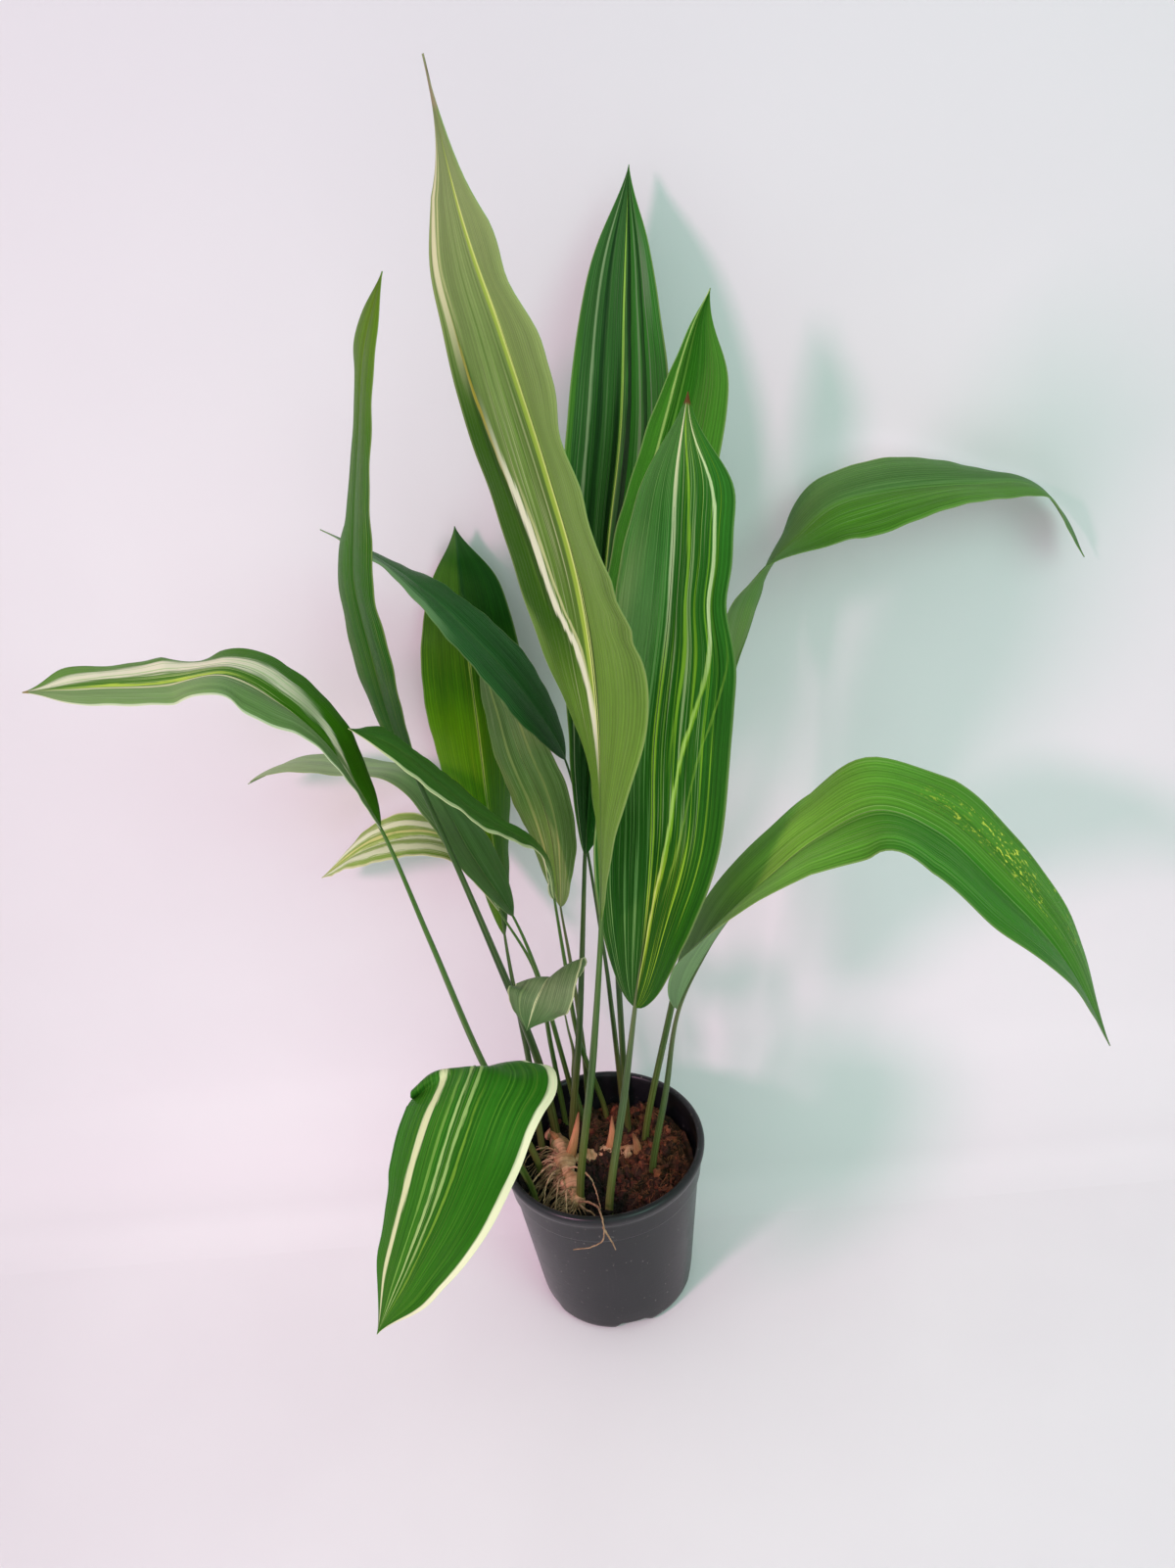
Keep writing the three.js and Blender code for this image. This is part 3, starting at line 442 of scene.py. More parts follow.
               band("9cc06c", 0.024, 0.85, -0.08, ragged=0.9),
               band("7fae4c", 0.02, 0.7, 0.18, start=0.3, ragged=1.0),
               band("8fb83c", 0.02, 0.5, -0.2, start=0.4, ragged=1.0)],
        streaks=[streaks("6fa034", 0.42, 60, -0.8, 0.95), streaks("154c06", 0.6, 44, -0.85, 1.0)]),
}

# The creeping rhizome and its roots, each a radius and a route, and the scale
# leaves, each a radius, a foot and a tip, as in the solids
rhizomes = [
    (8, [(-40, 44, 108), (-33, 24, 110), (-30, 4, 111), (-26, -14, 110), (-22, -34, 107)]),
    (6, [(-31, 10, 108), (-12, 16, 106), (8, 18, 106), (26, 10, 107), (36, 2, 107)]),
]
roots = [
    (0.9, [(-30, 6, 112), (-40, 2, 116), (-48, -6, 117), (-54, -14, 116), (-58, -22, 112)]),
    (0.8, [(-31, 0, 112), (-39, -10, 119), (-44, -20, 118), (-46, -30, 115), (-49, -38, 111)]),
    (0.9, [(-28, -8, 112), (-34, -18, 120), (-36, -28, 119), (-38, -38, 115), (-39, -46, 110)]),
    (0.8, [(-32, 14, 112), (-40, 16, 118), (-49, 17, 118), (-57, 14, 115), (-62, 8, 110)]),
    (0.8, [(-25, -18, 112), (-29, -30, 121), (-30, -40, 119), (-30, -48, 114), (-31, -54, 109)]),
    (0.9, [(-30, -4, 114), (-22, -8, 121), (-12, -18, 120), (-8, -30, 117), (-6, -40, 110)]),
    (0.9, [(-24, -30, 110), (-14, -40, 118), (-7, -54, 127), (-6, -66, 137), (-5, -73, 141),
     (-4, -78.5, 136), (-6, -78.5, 122), (-14, -77.5, 116), (-27, -75.5, 113)]),
    (0.7, [(-4.6, -78, 134), (-1, -79, 124), (1, -78, 116), (2, -77, 110)]),
    (0.8, [(-22, -32, 110), (-17, -44, 116), (-11, -52, 119), (-9, -58, 115), (-10, -60, 109)]),
]
sheaths = [
    (4.2, (-27, 12, 108), (-15, 15, 152)),
    (3.6, (4, 18, 106), (9, 22, 138)),
    (3.8, (25, 10, 106), (23, 4, 136)),
    (3.8, (-35, 30, 108), (-39, 22, 130)),
]


# Shared geometry

def eased(low, high, value):
    """0 below low, 1 above high, smooth between"""
    share = np.clip((value - low) / (high - low), 0.0, 1.0)
    return share * share * (3.0 - 2.0 * share)


def bell(value, centre, spread):
    """1 at the centre, falling smoothly to 0 on both sides"""
    return np.exp(-((value - centre) / spread) ** 2)


def run_of(line):
    """Distance run along a line, from 0 at its first point"""
    return np.concatenate([[0.0], np.cumsum(np.linalg.norm(np.diff(line, axis=0), axis=1))])


def unit(vectors):
    """The same directions, one long"""
    return vectors / np.linalg.norm(vectors, axis=-1, keepdims=True)


def along_route(route, places):
    """Points of the smooth curve through a route, at places from 0 to 1"""
    knots = np.asarray(route, float)
    knots = np.vstack([2 * knots[0] - knots[1], knots, 2 * knots[-1] - knots[-2]])
    place = np.clip(np.asarray(places, float), 0.0, 1.0) * (len(route) - 1)
    i = np.minimum(place.astype(int), len(route) - 2)
    w = (place - i)[:, None]
    before, start, end, after = (knots[i + k] for k in range(4))
    gaps = [np.linalg.norm(b - a, axis=1)[:, None] ** 0.5
            for a, b in ((before, start), (start, end), (end, after))]
    lead = (start - before) / gaps[0] - (end - before) / (gaps[0] + gaps[1]) + (end - start) / gaps[1]
    tail = (end - start) / gaps[1] - (after - start) / (gaps[1] + gaps[2]) + (after - end) / gaps[2]
    lead, tail = lead * gaps[1], tail * gaps[1]
    return (start + lead * w + (3 * (end - start) - 2 * lead - tail) * w ** 2
            + (2 * (start - end) + lead + tail) * w ** 3)


def even_places(route, low, high, shares):
    """Curve places at even distances between two places"""
    fine = np.linspace(low, high, 600)
    run = run_of(along_route(route, fine))
    return np.interp(np.asarray(shares) * run[-1], run, fine)


def smooth_list(values, shares):
    """Smooth values at shares of an evenly spaced list"""
    values = np.asarray(values, float)
    place = np.asarray(shares) * (len(values) - 1)
    i = np.minimum(place.astype(int), len(values) - 2)
    w = place - i
    slope_in = (values[i + 1] - values[np.maximum(i - 1, 0)]) / 2
    slope_out = (values[np.minimum(i + 2, len(values) - 1)] - values[i]) / 2
    return ((2 * w ** 3 - 3 * w ** 2 + 1) * values[i] + (w ** 3 - 2 * w ** 2 + w) * slope_in
            + (3 * w ** 2 - 2 * w ** 3) * values[i + 1] + (w ** 3 - w ** 2) * slope_out)


def bent_line(x, y, heading, length, bend, steps, limit):
    """A level line, bent a little aside, that stays within a distance of the pot's middle"""
    onward, aside = steps * length, bend * steps ** 2
    x = x + onward * math.cos(heading) - aside * math.sin(heading)
    y = y + onward * math.sin(heading) + aside * math.cos(heading)
    inside = np.minimum(1.0, limit / np.maximum(np.hypot(x, y), 1e-6))
    return x * inside, y * inside


def round_angles(sides):
    """Evenly spaced angles, once round"""
    return np.linspace(0.0, 2 * np.pi, sides, endpoint=False)


def ring_of(radius, z, angles):
    """Points of a level circle; radius and z may differ from point to point"""
    return np.stack([radius * np.cos(angles), radius * np.sin(angles), z * np.ones(len(angles))], axis=-1)


def even_grid(across, along):
    """Texture places of a grid: rows along it, columns across it"""
    return np.stack(np.meshgrid(across, along, indexing="xy"), axis=-1)


class Shape:
    """Gathers the points, faces, texture places and material numbers of a mesh"""

    def __init__(self):
        self.points, self.faces, self.places, self.kinds = [], [], [], []
        self.count = 0

    def add(self, points, corners, places, kind):
        """New points, and faces whose corners count every point gathered so far"""
        self.points.append(np.asarray(points, float).reshape(-1, 3))
        self.faces.extend(corners.tolist())
        self.places.append(places.reshape(-1, 2))
        self.kinds.extend([kind] * len(corners))
        self.count += len(self.points[-1])

    def grid(self, points, places, kind, closed=False, turned=False):
        """Quads between rows of points; a closed grid joins each row's ends and
        has one more column of texture places than of points"""
        rows, columns = points.shape[:2]
        wide = columns if closed else columns - 1
        i, j = (a.ravel() for a in np.meshgrid(np.arange(rows - 1), np.arange(wide), indexing="ij"))
        k = (j + 1) % columns
        corners = self.count + np.stack([i * columns + j, i * columns + k, (i + 1) * columns + k,
                                         (i + 1) * columns + j], axis=1)
        spots = np.stack([places[i, j], places[i, j + 1], places[i + 1, j + 1], places[i + 1, j]], axis=1)
        if turned:
            corners, spots = corners[:, ::-1], spots[:, ::-1]
        self.add(points, corners, spots, kind)

    def body(self, rings, ends, kind, places=None):
        """A closed body: rings of points, and a fan around a middle at each end"""
        count, sides = rings.shape[:2]
        if places is None:
            places = np.zeros((count, sides + 1, 2))
        start = self.count
        self.grid(rings, places, kind, closed=True)
        j = np.arange(sides)
        for end, row in enumerate((0, count - 1)):
            base = start + row * sides
            fan = np.stack([np.full(sides, self.count), base + j, base + (j + 1) % sides], axis=1)
            spots = np.full((sides, 3, 2), places[row].mean(axis=0))
            self.add(ends[end], fan if end else fan[:, ::-1], spots, kind)

    def tube(self, middles, sides, radius_at, kind, facing=(0.37, 0.81, 0.45)):
        """A closed tube: middles along it, the directions of its first side, and
        a function of (share of the length, angle) for its radius"""
        middles, facing = np.asarray(middles, float), np.asarray(facing)
        along = unit(np.gradient(middles, axis=0))
        first = unit(facing - np.sum(facing * along, axis=-1, keepdims=True) * along)
        second = np.cross(along, first)
        angles = round_angles(sides)
        shares = np.linspace(0.0, 1.0, len(middles))
        radius = radius_at(shares[:, None], angles[None, :]) * np.ones((len(middles), sides))
        ring = (np.cos(angles)[None, :, None] * first[:, None, :]
                + np.sin(angles)[None, :, None] * second[:, None, :])
        self.body(middles[:, None, :] + radius[..., None] * ring, middles[[0, -1]], kind,
                  even_grid(np.linspace(0, 1, sides + 1), shares))

    def make(self, name, materials, sharp=50.0):
        """The finished object, in metres; edges over the sharp angle stay crisp"""
        mesh = bpy.data.meshes.new(name)
        mesh.from_pydata((np.vstack(self.points) * MM).tolist(), [], self.faces)
        layer = mesh.uv_layers.new(name="UVMap")
        layer.data.foreach_set("uv", np.vstack(self.places).ravel())
        mesh.polygons.foreach_set("material_index", self.kinds)
        mesh.polygons.foreach_set("use_smooth", [True] * len(self.faces))
        for material in materials:
            mesh.materials.append(material)
        mesh.update()
        mesh.set_sharp_from_angle(angle=math.radians(sharp))
        thing = bpy.data.objects.new(name, mesh)
        bpy.context.scene.collection.objects.link(thing)
        return thing


# Materials

def linear(code):
    """Linear colour of a six-digit screen colour"""
    parts = [int(code[i:i + 2], 16) / 255 for i in (0, 2, 4)]
    return tuple(c / 12.92 if c <= 0.04045 else ((c + 0.055) / 1.055) ** 2.4 for c in parts) + (1.0,)


class Look:
    """A procedural material: each call adds nodes and gives back an output"""

    def __init__(self, name, ior=1.45, specular=0.5):
        self.material = bpy.data.materials.new(name)
        self.material.use_nodes = True
        self.tree = self.material.node_tree
        self.shader = self.tree.nodes["Principled BSDF"]
        self.shader.inputs["IOR"].default_value = ior
        self.shader.inputs["Specular IOR Level"].default_value = specular

    def node(self, kind, inputs=None, **settings):
        made = self.tree.nodes.new("ShaderNode" + kind)
        for key, value in settings.items():
            setattr(made, key, value)
        for key, value in (inputs or {}).items():
            self.feed(made.inputs[key], value)
        return made

    def feed(self, socket, value):
        if isinstance(value, bpy.types.NodeSocket):
            self.tree.links.new(value, socket)
        else:
            socket.default_value = linear(value) if isinstance(value, str) else value

    def object_place(self):
        """Place in the object, in metres"""
        return self.node("TexCoord").outputs["Object"]

    def surface_place(self):
        """Place on the surface: across or round it, then along it"""
        return self.node("UVMap", uv_map="UVMap").outputs[0]

    def split(self, place):
        return tuple(self.node("SeparateXYZ", {0: place}).outputs)

    def math(self, operation, *values):
        return self.node("Math", dict(enumerate(values)), operation=operation).outputs[0]

    def product(self, first, *others):
        for value in others:
            first = self.math("MULTIPLY", first, value)
        return first

    def mix(self, share, first, second, blend="MIX"):
        made = self.node("Mix", data_type="RGBA", blend_type=blend)
        for socket, value in ((0, share), (6, first), (7, second)):
            self.feed(made.inputs[socket], value)
        return made.outputs[2]

    def span(self, value, low, high, to_low=0.0, to_high=1.0, smooth=True):
        """Maps low to high onto to_low to to_high, held at both ends"""
        kind = "SMOOTHSTEP" if smooth else "LINEAR"
        made = self.node("MapRange", {0: value, 1: low, 2: high, 3: to_low, 4: to_high},
                         interpolation_type=kind, clamp=True)
        return made.outputs[0]

    def window(self, value, low, high, fade):
        """1 between low and high, fading to 0 at both over a fade inside them"""
        return self.product(self.span(value, low, low + fade), self.span(value, high, high - fade))

    def level(self, noise, low, high):
        """A noise's usual values spread over a range"""
        return self.span(noise, *NOISE_RANGE, low, high, smooth=False)

    def mottled(self, noise, dark, light):
        """A colour that goes from one to another with a noise"""
        return self.mix(self.span(noise, *NOISE_RANGE), dark, light)

    def tint(self, colour, code, strength, value, low, high):
        """Leans a colour to another, by up to a strength, as a value goes from low to high"""
        return self.mix(self.span(value, low, high, 0.0, strength), colour, code)

    def ramp(self, value, stops):
        made = self.node("ValToRGB", {0: value})
        points = made.color_ramp.elements
        while len(points) < len(stops):
            points.new(0.5)
        for point, (place, code) in zip(points, stops):
            point.position = place
            point.color = linear(code)
        return made.outputs[0]

    def curve(self, value, points):
        """A smooth function through a few points, all from 0 to 1"""
        made = self.node("FloatCurve", {1: value})
        line = made.mapping.curves[0]
        while len(line.points) < len(points):
            line.points.new(0.5, 0.5)
        for spot, place in zip(line.points, points):
            spot.location = place
        made.mapping.update()
        return made.outputs[0]

    def noise(self, place, scale, detail=2.0, roughness=0.5):
        made = self.node("TexNoise", {"Vector": place, "Scale": scale, "Detail": detail,
                                      "Roughness": roughness})
        return made.outputs[0]

    def grain(self, place, x, y, detail=2.0, roughness=0.5, shift=(0.0, 0.0, 0.0)):
        """A noise with a scale of its own across and along"""
        scaled = self.node("VectorMath", {0: place, 1: (x, y, 1.0), 2: shift}, operation="MULTIPLY_ADD")
        return self.noise(scaled.outputs[0], 1.0, detail, roughness)

    def finish(self, colour, roughness, height, distance, strength=0.6):
        """Sets the surface; distance is the bump's depth in millimetres"""
        bump = self.node("Bump", {"Height": height, "Distance": distance * MM, "Strength": strength})
        for key, value in (("Base Color", colour), ("Roughness", roughness), ("Normal", bump.outputs[0])):
            self.feed(self.shader.inputs[key], value)
        return self.material


# The leaves

def add_streaks(look, colour, zone, place, across, along, shift):
    """Lays one zone of fine broken lines over a colour"""
    lines = look.grain(place, zone["count"] * 2.0, 1.8, 2.0, 0.7, shift)
    share = look.product(look.span(lines, 0.53, 0.68, 0.0, zone["strength"]),
                         look.window(across, zone["low"] - STREAK_EDGE, zone["high"] + STREAK_EDGE,
                                     2 * STREAK_EDGE),
                         look.window(along, zone["start"], zone["end"], STREAK_FADE))
    return look.mix(share, colour, zone["colour"])


def add_band(look, colour, stripe, side, along, ragged):
    """Lays one stripe with torn edges over a colour"""
    half = stripe["half"] / 2
    middle = look.curve(along, [(share, (place + 1) / 2) for share, place in stripe["middle"]])
    far = look.math("ABSOLUTE", look.math("SUBTRACT", side, middle))
    torn = look.span(ragged, 0.25, 0.75, -1.0, 1.0, smooth=False)
    far = look.math("MULTIPLY_ADD", torn, half * stripe["ragged"], far)
    share = look.product(look.span(far, half * 1.15, half * 0.5, 0.0, stripe["strength"]),
                         look.window(along, stripe["start"], stripe["end"], BAND_FADE))
    return look.mix(share, colour, stripe["colour"])


def add_specks(look, colour, specks, place, across, along, shift):
    """Scatters pale specks over a part of one half"""
    code, strength, low, high, start, end = specks
    spots = look.grain(place, 42.0, 90.0, 3.0, 0.7)
    crowd = look.grain(place, 9.0, 9.0, shift=shift)
    share = look.product(look.span(spots, 0.55, 0.62, 0.0, strength), look.span(crowd, 0.42, 0.6),
                         look.span(across, low, low + 0.1), look.span(across, high, high - 0.3),
                         look.window(along, start, end, STREAK_FADE))
    return look.mix(share, colour, code)


def add_margin(look, colour, margin, across, ragged):
    """Colours the edge: a wide ragged margin, or a thin pale line where a leaf has no margin"""
    if margin is None:
        return look.tint(colour, "a9bb78", 0.35, look.math("ABSOLUTE", across), 0.955, 0.995)
    code, wide, strength, where = margin
    reach = look.math("ABSOLUTE", across) if where == "both" else look.math("MULTIPLY", across, -1.0)
    reach = look.math("MULTIPLY_ADD", ragged, wide * 0.7, reach)
    return look.tint(colour, code, strength, reach, 1.0 - wide * 0.9, 1.0 - wide * 0.45)


def blade_look(name, marks, seed, underside=False):
    """The marked surface of one leaf; the seed moves its noises"""
    look = Look(name, ior=1.42, specular=LEAF_GLOSS)
    place = look.surface_place()
    side, along, _ = look.split(place)
    across = look.span(side, 0.0, 1.0, -1.0, 1.0, smooth=False)
    shift = (seed * 7.3, seed * 3.1, seed * 1.7)
    veins = look.grain(place, 85.0, 1.6, 3.0, 0.6, shift)
    broad = look.grain(place, 7.0, 3.0, 3.0, shift=shift)
    mottle = look.grain(place, 30.0, 55.0, 4.0, 0.7, shift)
    ragged = look.grain(place, 60.0, 9.0, 3.0, 0.65, shift)
    if underside:
        colour = look.mix(look.span(broad, 0.35, 0.65, 0.0, 0.5), marks["under"], marks["tones"][1][1])
    else:
        colour = look.ramp(along, marks["tones"])
        # the tints of the halves are partly painted sheen and shade
        for half, reach in (("left", -0.12), ("right", 0.12)):
            code, strength = marks[half]
            colour = look.tint(colour, code, strength, across, 0.0, reach)
    turns = look.math("MULTIPLY_ADD", side, 2 * math.pi * RIB_COUNT, look.math("MULTIPLY", broad, 9.0))
    ribs = look.math("SINE", turns)
    # random tone, times painted shade along the rib grooves
    tone_and_rib_shade = look.product(look.level(broad, 0.82, 1.16), look.level(veins, 0.84, 1.14),
                         look.level(mottle, 0.95, 1.05), look.span(ribs, -1.0, 0.2, 0.86, 1.04))
    grey = look.node("CombineColor", {0: tone_and_rib_shade, 1: tone_and_rib_shade, 2: tone_and_rib_shade}).outputs[0]
    colour = look.mix(1.0, colour, grey, blend="MULTIPLY")
    if not underside:
        for number, zone in enumerate(marks["streaks"]):
            own_shift = (seed * 5.1 + number * 9.7, seed * 2.3, 4.0)
            colour = add_streaks(look, colour, zone, place, across, along, own_shift)
        for stripe in marks["bands"]:
            colour = add_band(look, colour, stripe, side, along, ragged)
        if "specks" in marks:
            colour = add_specks(look, colour, marks["specks"], place, across, along, shift)
    colour = add_margin(look, colour, marks.get("margin"), across, ragged)
    if "tip" in marks:
        code, start = marks["tip"]
        colour = look.tint(colour, code, 0.9, along, start, start + 0.006)
    height = look.math("MULTIPLY_ADD", ribs, 0.22, look.math("MULTIPLY", veins, 1.4))
    height = look.math("ADD", height, look.math("MULTIPLY", mottle, 0.25))
    smoothest = 0.5 if underside else 0.36
    return look.finish(colour, look.level(mottle, smoothest, smoothest + 0.14), height, 0.35, 0.7)


def stalk_look(name, low, middle, high, foot, shift):
    """The smooth channelled stalk, darker and yellower towards its foot"""
    look = Look(name, ior=1.42)
    place = look.surface_place()
    lines = look.grain(place, 26.0, 5.0, 3.0, 0.6, (shift, 0.0, 0.0))
    colour = look.ramp(look.split(place)[1], [(0.0, foot), (0.13, low), (0.4, middle), (0.85, high)])
    colour = look.tint(colour, "94a46c", 0.35, lines, 0.45, 0.7)
    colour = look.tint(colour, "284216", 0.5, lines, 0.5, 0.3)
    return look.finish(colour, look.level(lines, 0.38, 0.52), lines, 0.25)


def on_blade(leaf, share):
    """The curve place at a share of the blade's stretch of the midline"""
    first = leaf["blade"] / (len(leaf["spine"]) - 1)
    return first + (1 - first) * share


def midline(leaf, places):
    """Points of the midline, with the directions across the blade and out of its upper side"""
    spine = leaf["spine"]
    step = 5e-4
    along = unit(along_route(spine, places + step) - along_route(spine, places - step))
    compass = math.radians(leaf["across"])
    flat = np.array([math.cos(compass), math.sin(compass), 0.0])
    across = unit(flat - (along @ flat)[:, None] * along)
    return along_route(spine, places), across, np.cross(across, along)


def outline(leaf, shares):
    """Share of the full half width along a blade"""
    tip_power = leaf["full"] * (1 - leaf["widest"]) / leaf["widest"]
    peak = leaf["widest"] ** leaf["full"] * (1 - leaf["widest"]) ** tip_power
    left_over = np.clip((1 - shares) / TIP_SHARE, 0.0, 1.0)
    sharper = left_over ** ((TIP_POWER - tip_power) * eased(1 - TIP_SHARE, 1.0, shares))
    return shares ** leaf["full"] * (1 - shares) ** tip_power / peak * sharper


def edge_wave(shares, number, side):
    """The gentle ups and downs of a blade's edge, different on each leaf and half"""
    turns = 2 * math.pi * shares * (1.6 + 0.23 * (number % 5))
    wave = np.sin(turns + number * 1.9 + side) + 0.5 * np.sin(2.7 * turns + number)
    wave = wave + 0.3 * np.sin(6.1 * turns + 2 * side + number)
    return EDGE_WAVE * eased(0.0, 0.2, shares) * eased(1.0, 0.85, shares) * wave


def blade_surface(leaf, shares, columns, number):
    """Middle surface of a blade: rows from foot to tip, columns left to right"""
    places = even_places(leaf["spine"], on_blade(leaf, 0.0), 1.0, shares)
    middle, across, up = midline(leaf, places)
    full = outline(leaf, shares)
    least = FOOT_HALF_WIDTH + (TIP_HALF_WIDTH - FOOT_HALF_WIDTH) * shares
    half = np.maximum(leaf["width"] / 2 * full, least)
    start, power = leaf["taper"]
    half = half * np.clip((1 - shares) / (1 - start), 1e-3, 1.0) ** power
    surface = np.zeros((len(shares), len(columns), 3))
    for j, column in enumerate(columns):
        side, share = (1, column) if column > 0 else (-1, -column)
        reach = half * (1 + sum(extra * bell(shares, centre, spread)
                                for centre, spread, where, extra in leaf["trims"] if where in (0, side)))
        lift = np.radians(smooth_list(leaf["right" if side > 0 else "left"], shares))[:, None]
        outward = side * across * np.cos(lift) + up * np.sin(lift)
        above = -side * across * np.sin(lift) + up * np.cos(lift)
        rise = BLADE_BOW * math.sin(math.pi * share) * full + share ** 3 * edge_wave(shares, number, side)
        for centre, depth, wide in (*leaf["grooves"], MIDRIB_GROOVE):
            rise = rise - depth * full * bell(column, centre, wide)
        for centre, spread, place, wide, height in leaf["bumps"]:
            rise = rise + height * bell(shares, centre, spread) * bell(column, place, wide)
        surface[:, j] = middle + outward * (share * reach)[:, None] + above * rise[:, None]
    return surface


def add_blade(shape, leaf, number):
    """A thin closed blade: its upper side, its underside and the edge between them"""
    shares = np.linspace(0.0, 1.0, BLADE_ROWS + 1)
    columns = np.linspace(-1.0, 1.0, 2 * HALF_COLUMNS + 1)
    surface = blade_surface(leaf, shares, columns, number)
    normal = unit(np.cross(np.gradient(surface, axis=1), np.gradient(surface, axis=0)))
    thick = BLADE_THICKNESS / 2 * (1 - EDGE_THINNING * columns ** 4)[None, :, None]
    places = even_grid((columns + 1) / 2, shares)
    index = shape.count + np.arange(len(shares) * len(columns)).reshape(len(shares), len(columns))
    shape.grid(surface + normal * thick, places, 0)
    shape.grid(surface - normal * thick, places, 1, turned=True)
    # the border's points and places, once round: foot, right edge, tip, left edge
    edge, spots = (np.concatenate([a[0, :-1], a[:-1, -1], a[-1, :0:-1], a[:0:-1, 0]])
                   for a in (index, places))
    onward, next_spots = np.roll(edge, -1), np.roll(spots, -1, axis=0)
    corners = np.stack([edge, edge + index.size, onward + index.size, onward], axis=1)
    shape.add(np.zeros((0, 3)), corners, np.stack([spots, spots, next_spots, next_spots], axis=1), 0)


def add_stalk(shape, leaf):
    """The stalk from the compost up, running on as the rib under the blade"""
    first, rib_start, end = (on_blade(leaf, share) for share in (0.0, STALK_END, RIB_END))
    places = even_places(leaf["spine"], 0.0, end, np.linspace(0.0, 1.0, STALK_RINGS) ** 0.8)
    middle, _, up = midline(leaf, places)
    taper = np.interp(places / rib_start, (0.0, 0.5, 1.0), (1.0, 0.7, 0.1))
    rib = np.interp(places, (rib_start, end), (RIB_RADIUS, RIB_TIP_RADIUS))
    radius = np.where(places > rib_start, rib, np.maximum(leaf["stalk"] / 2 * taper, RIB_RADIUS))
    sunk = radius * RIB_DEPTH * eased(first, on_blade(leaf, RIB_SINKS), places)

    def radius_at(share, angle):
        channel = bell(np.abs(angle - np.pi), np.pi, 0.55)
        ring = radius[:, None] * (1 - 0.2 * channel * eased(0.1, 0.3, share))
        return ring * (1 + 0.03 * np.cos(5 * angle + 2.0))

    shape.tube(middle - up * sunk[:, None], STALK_SIDES, radius_at, 2, facing=up)


stalk_looks = {
    "sage": stalk_look("stalk_sage", "3a501e", "546436", "567036", "74743a", 1.0),
    "green": stalk_look("stalk_green", "2f500e", "42701c", "4a7824", "6c6c30", 5.0),
    "dark": stalk_look("stalk_dark", "223e0e", "2e5814", "36661a", "5c5828", 9.0),
}

for number, (name, leaf) in enumerate(leaves.items()):
    marks = looks[name]
    shape = Shape()
    add_blade(shape, leaf, number)
    add_stalk(shape, leaf)
    upper = blade_look(name + "_upper", marks, number + 1)
    under = blade_look(name + "_underside", marks, number + 1, underside=True)
    grown = shape.make(name + "_grown", [upper, under, stalk_looks[marks["stalk"]]])
    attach(grown, "root")
    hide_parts(name)


# The pot

def pot_profile():
    """Radius and height, from under the pot's middle, up its outside, over the lip and down inside"""
    foot_wall = base_radius + wall_slope * FOOT_RADIUS
    collar = rim_radius - COLLAR_INSET
    lip_bottom = POT_HEIGHT - LIP_DEPTH
    # the bottom, the rounded foot and the tapered wall
    points = [(r, 0.0) for r in np.linspace(0.0, foot_wall - FOOT_RADIUS, 10)]
    for angle in np.linspace(0.0, np.pi / 2, 9)[1:]:
        points.append((foot_wall - FOOT_RADIUS * (1 - math.sin(angle)), FOOT_RADIUS * (1 - math.cos(angle))))
    for z in np.linspace(FOOT_RADIUS, collar_bottom - 1.5, 16)[1:]:
        points.append((base_radius + wall_slope * z, z))
    # the step out to the collar, the collar and the rounded lip
    points += [(collar - 0.5, collar_bottom - 0.9), (collar, collar_bottom)]
    points += list(np.linspace((collar + 0.1, collar_bottom + 1), (rim_radius - 2.4, lip_bottom - 5), 6))
    lip = [(rim_radius - inward, POT_HEIGHT - down)
           for inward, down in ((2.2, LIP_DEPTH + 3.6), (0.7, LIP_DEPTH + 0.8), (0.0, LIP_DEPTH / 2),
                                (0.9, 0.8), (3.0, 0.0), (5.0, 0.9), (5.9, 3.4))]
    points += list(along_route(lip, np.linspace(0, 1, 22)))
    # the inside, down to the floor
    points += [(collar - WALL, lip_bottom - 6), (collar - WALL, collar_bottom + 1),
               (rim_radius - LIP_WIDTH - 0.6 - WALL, collar_bottom - 2), (foot_wall - WALL, FOOT_RADIUS + 2),
               (foot_wall - WALL - 3, WALL + 4), (foot_wall - WALL - 8, WALL), (0.0, WALL)]
    return np.array(points)


def notch_height(angle):
    """Height of the water notch at an angle round the foot"""
    step = 2 * np.pi / NOTCH_COUNT
    off = (angle - math.radians(NOTCH_FIRST_ANGLE) + step / 2) % step - step / 2
    return NOTCH_HEIGHT * eased(NOTCH_WIDTH / 2, NOTCH_WIDTH / 2 - 7, np.abs(off) * base_radius)


def make_pot():
    """The turned pot, its foot lifted at the notches"""
    profile = pot_profile()
    angles = round_angles(POT_SIDES)
    radius, height = profile[:, :1], profile[:, 1:]
    near = eased(NOTCH_INNER_RADIUS - 1, NOTCH_INNER_RADIUS + 1, radius)
    fading = np.maximum(1 - height / NOTCH_ROOM, 0.0)
    lifted = height + notch_height(angles)[None, :] * near * fading
    points = np.stack([radius * np.cos(angles), radius * np.sin(angles), lifted], axis=-1)
    run = run_of(profile)
    places = even_grid(np.linspace(0, 1, POT_SIDES + 1), run / run[-1])
    shape = Shape()
    shape.body(points[1:-1], points[[0, -1], 0], 0, places[1:-1])
    return shape.make("pot_shell", [pot_look()], sharp=35.0)


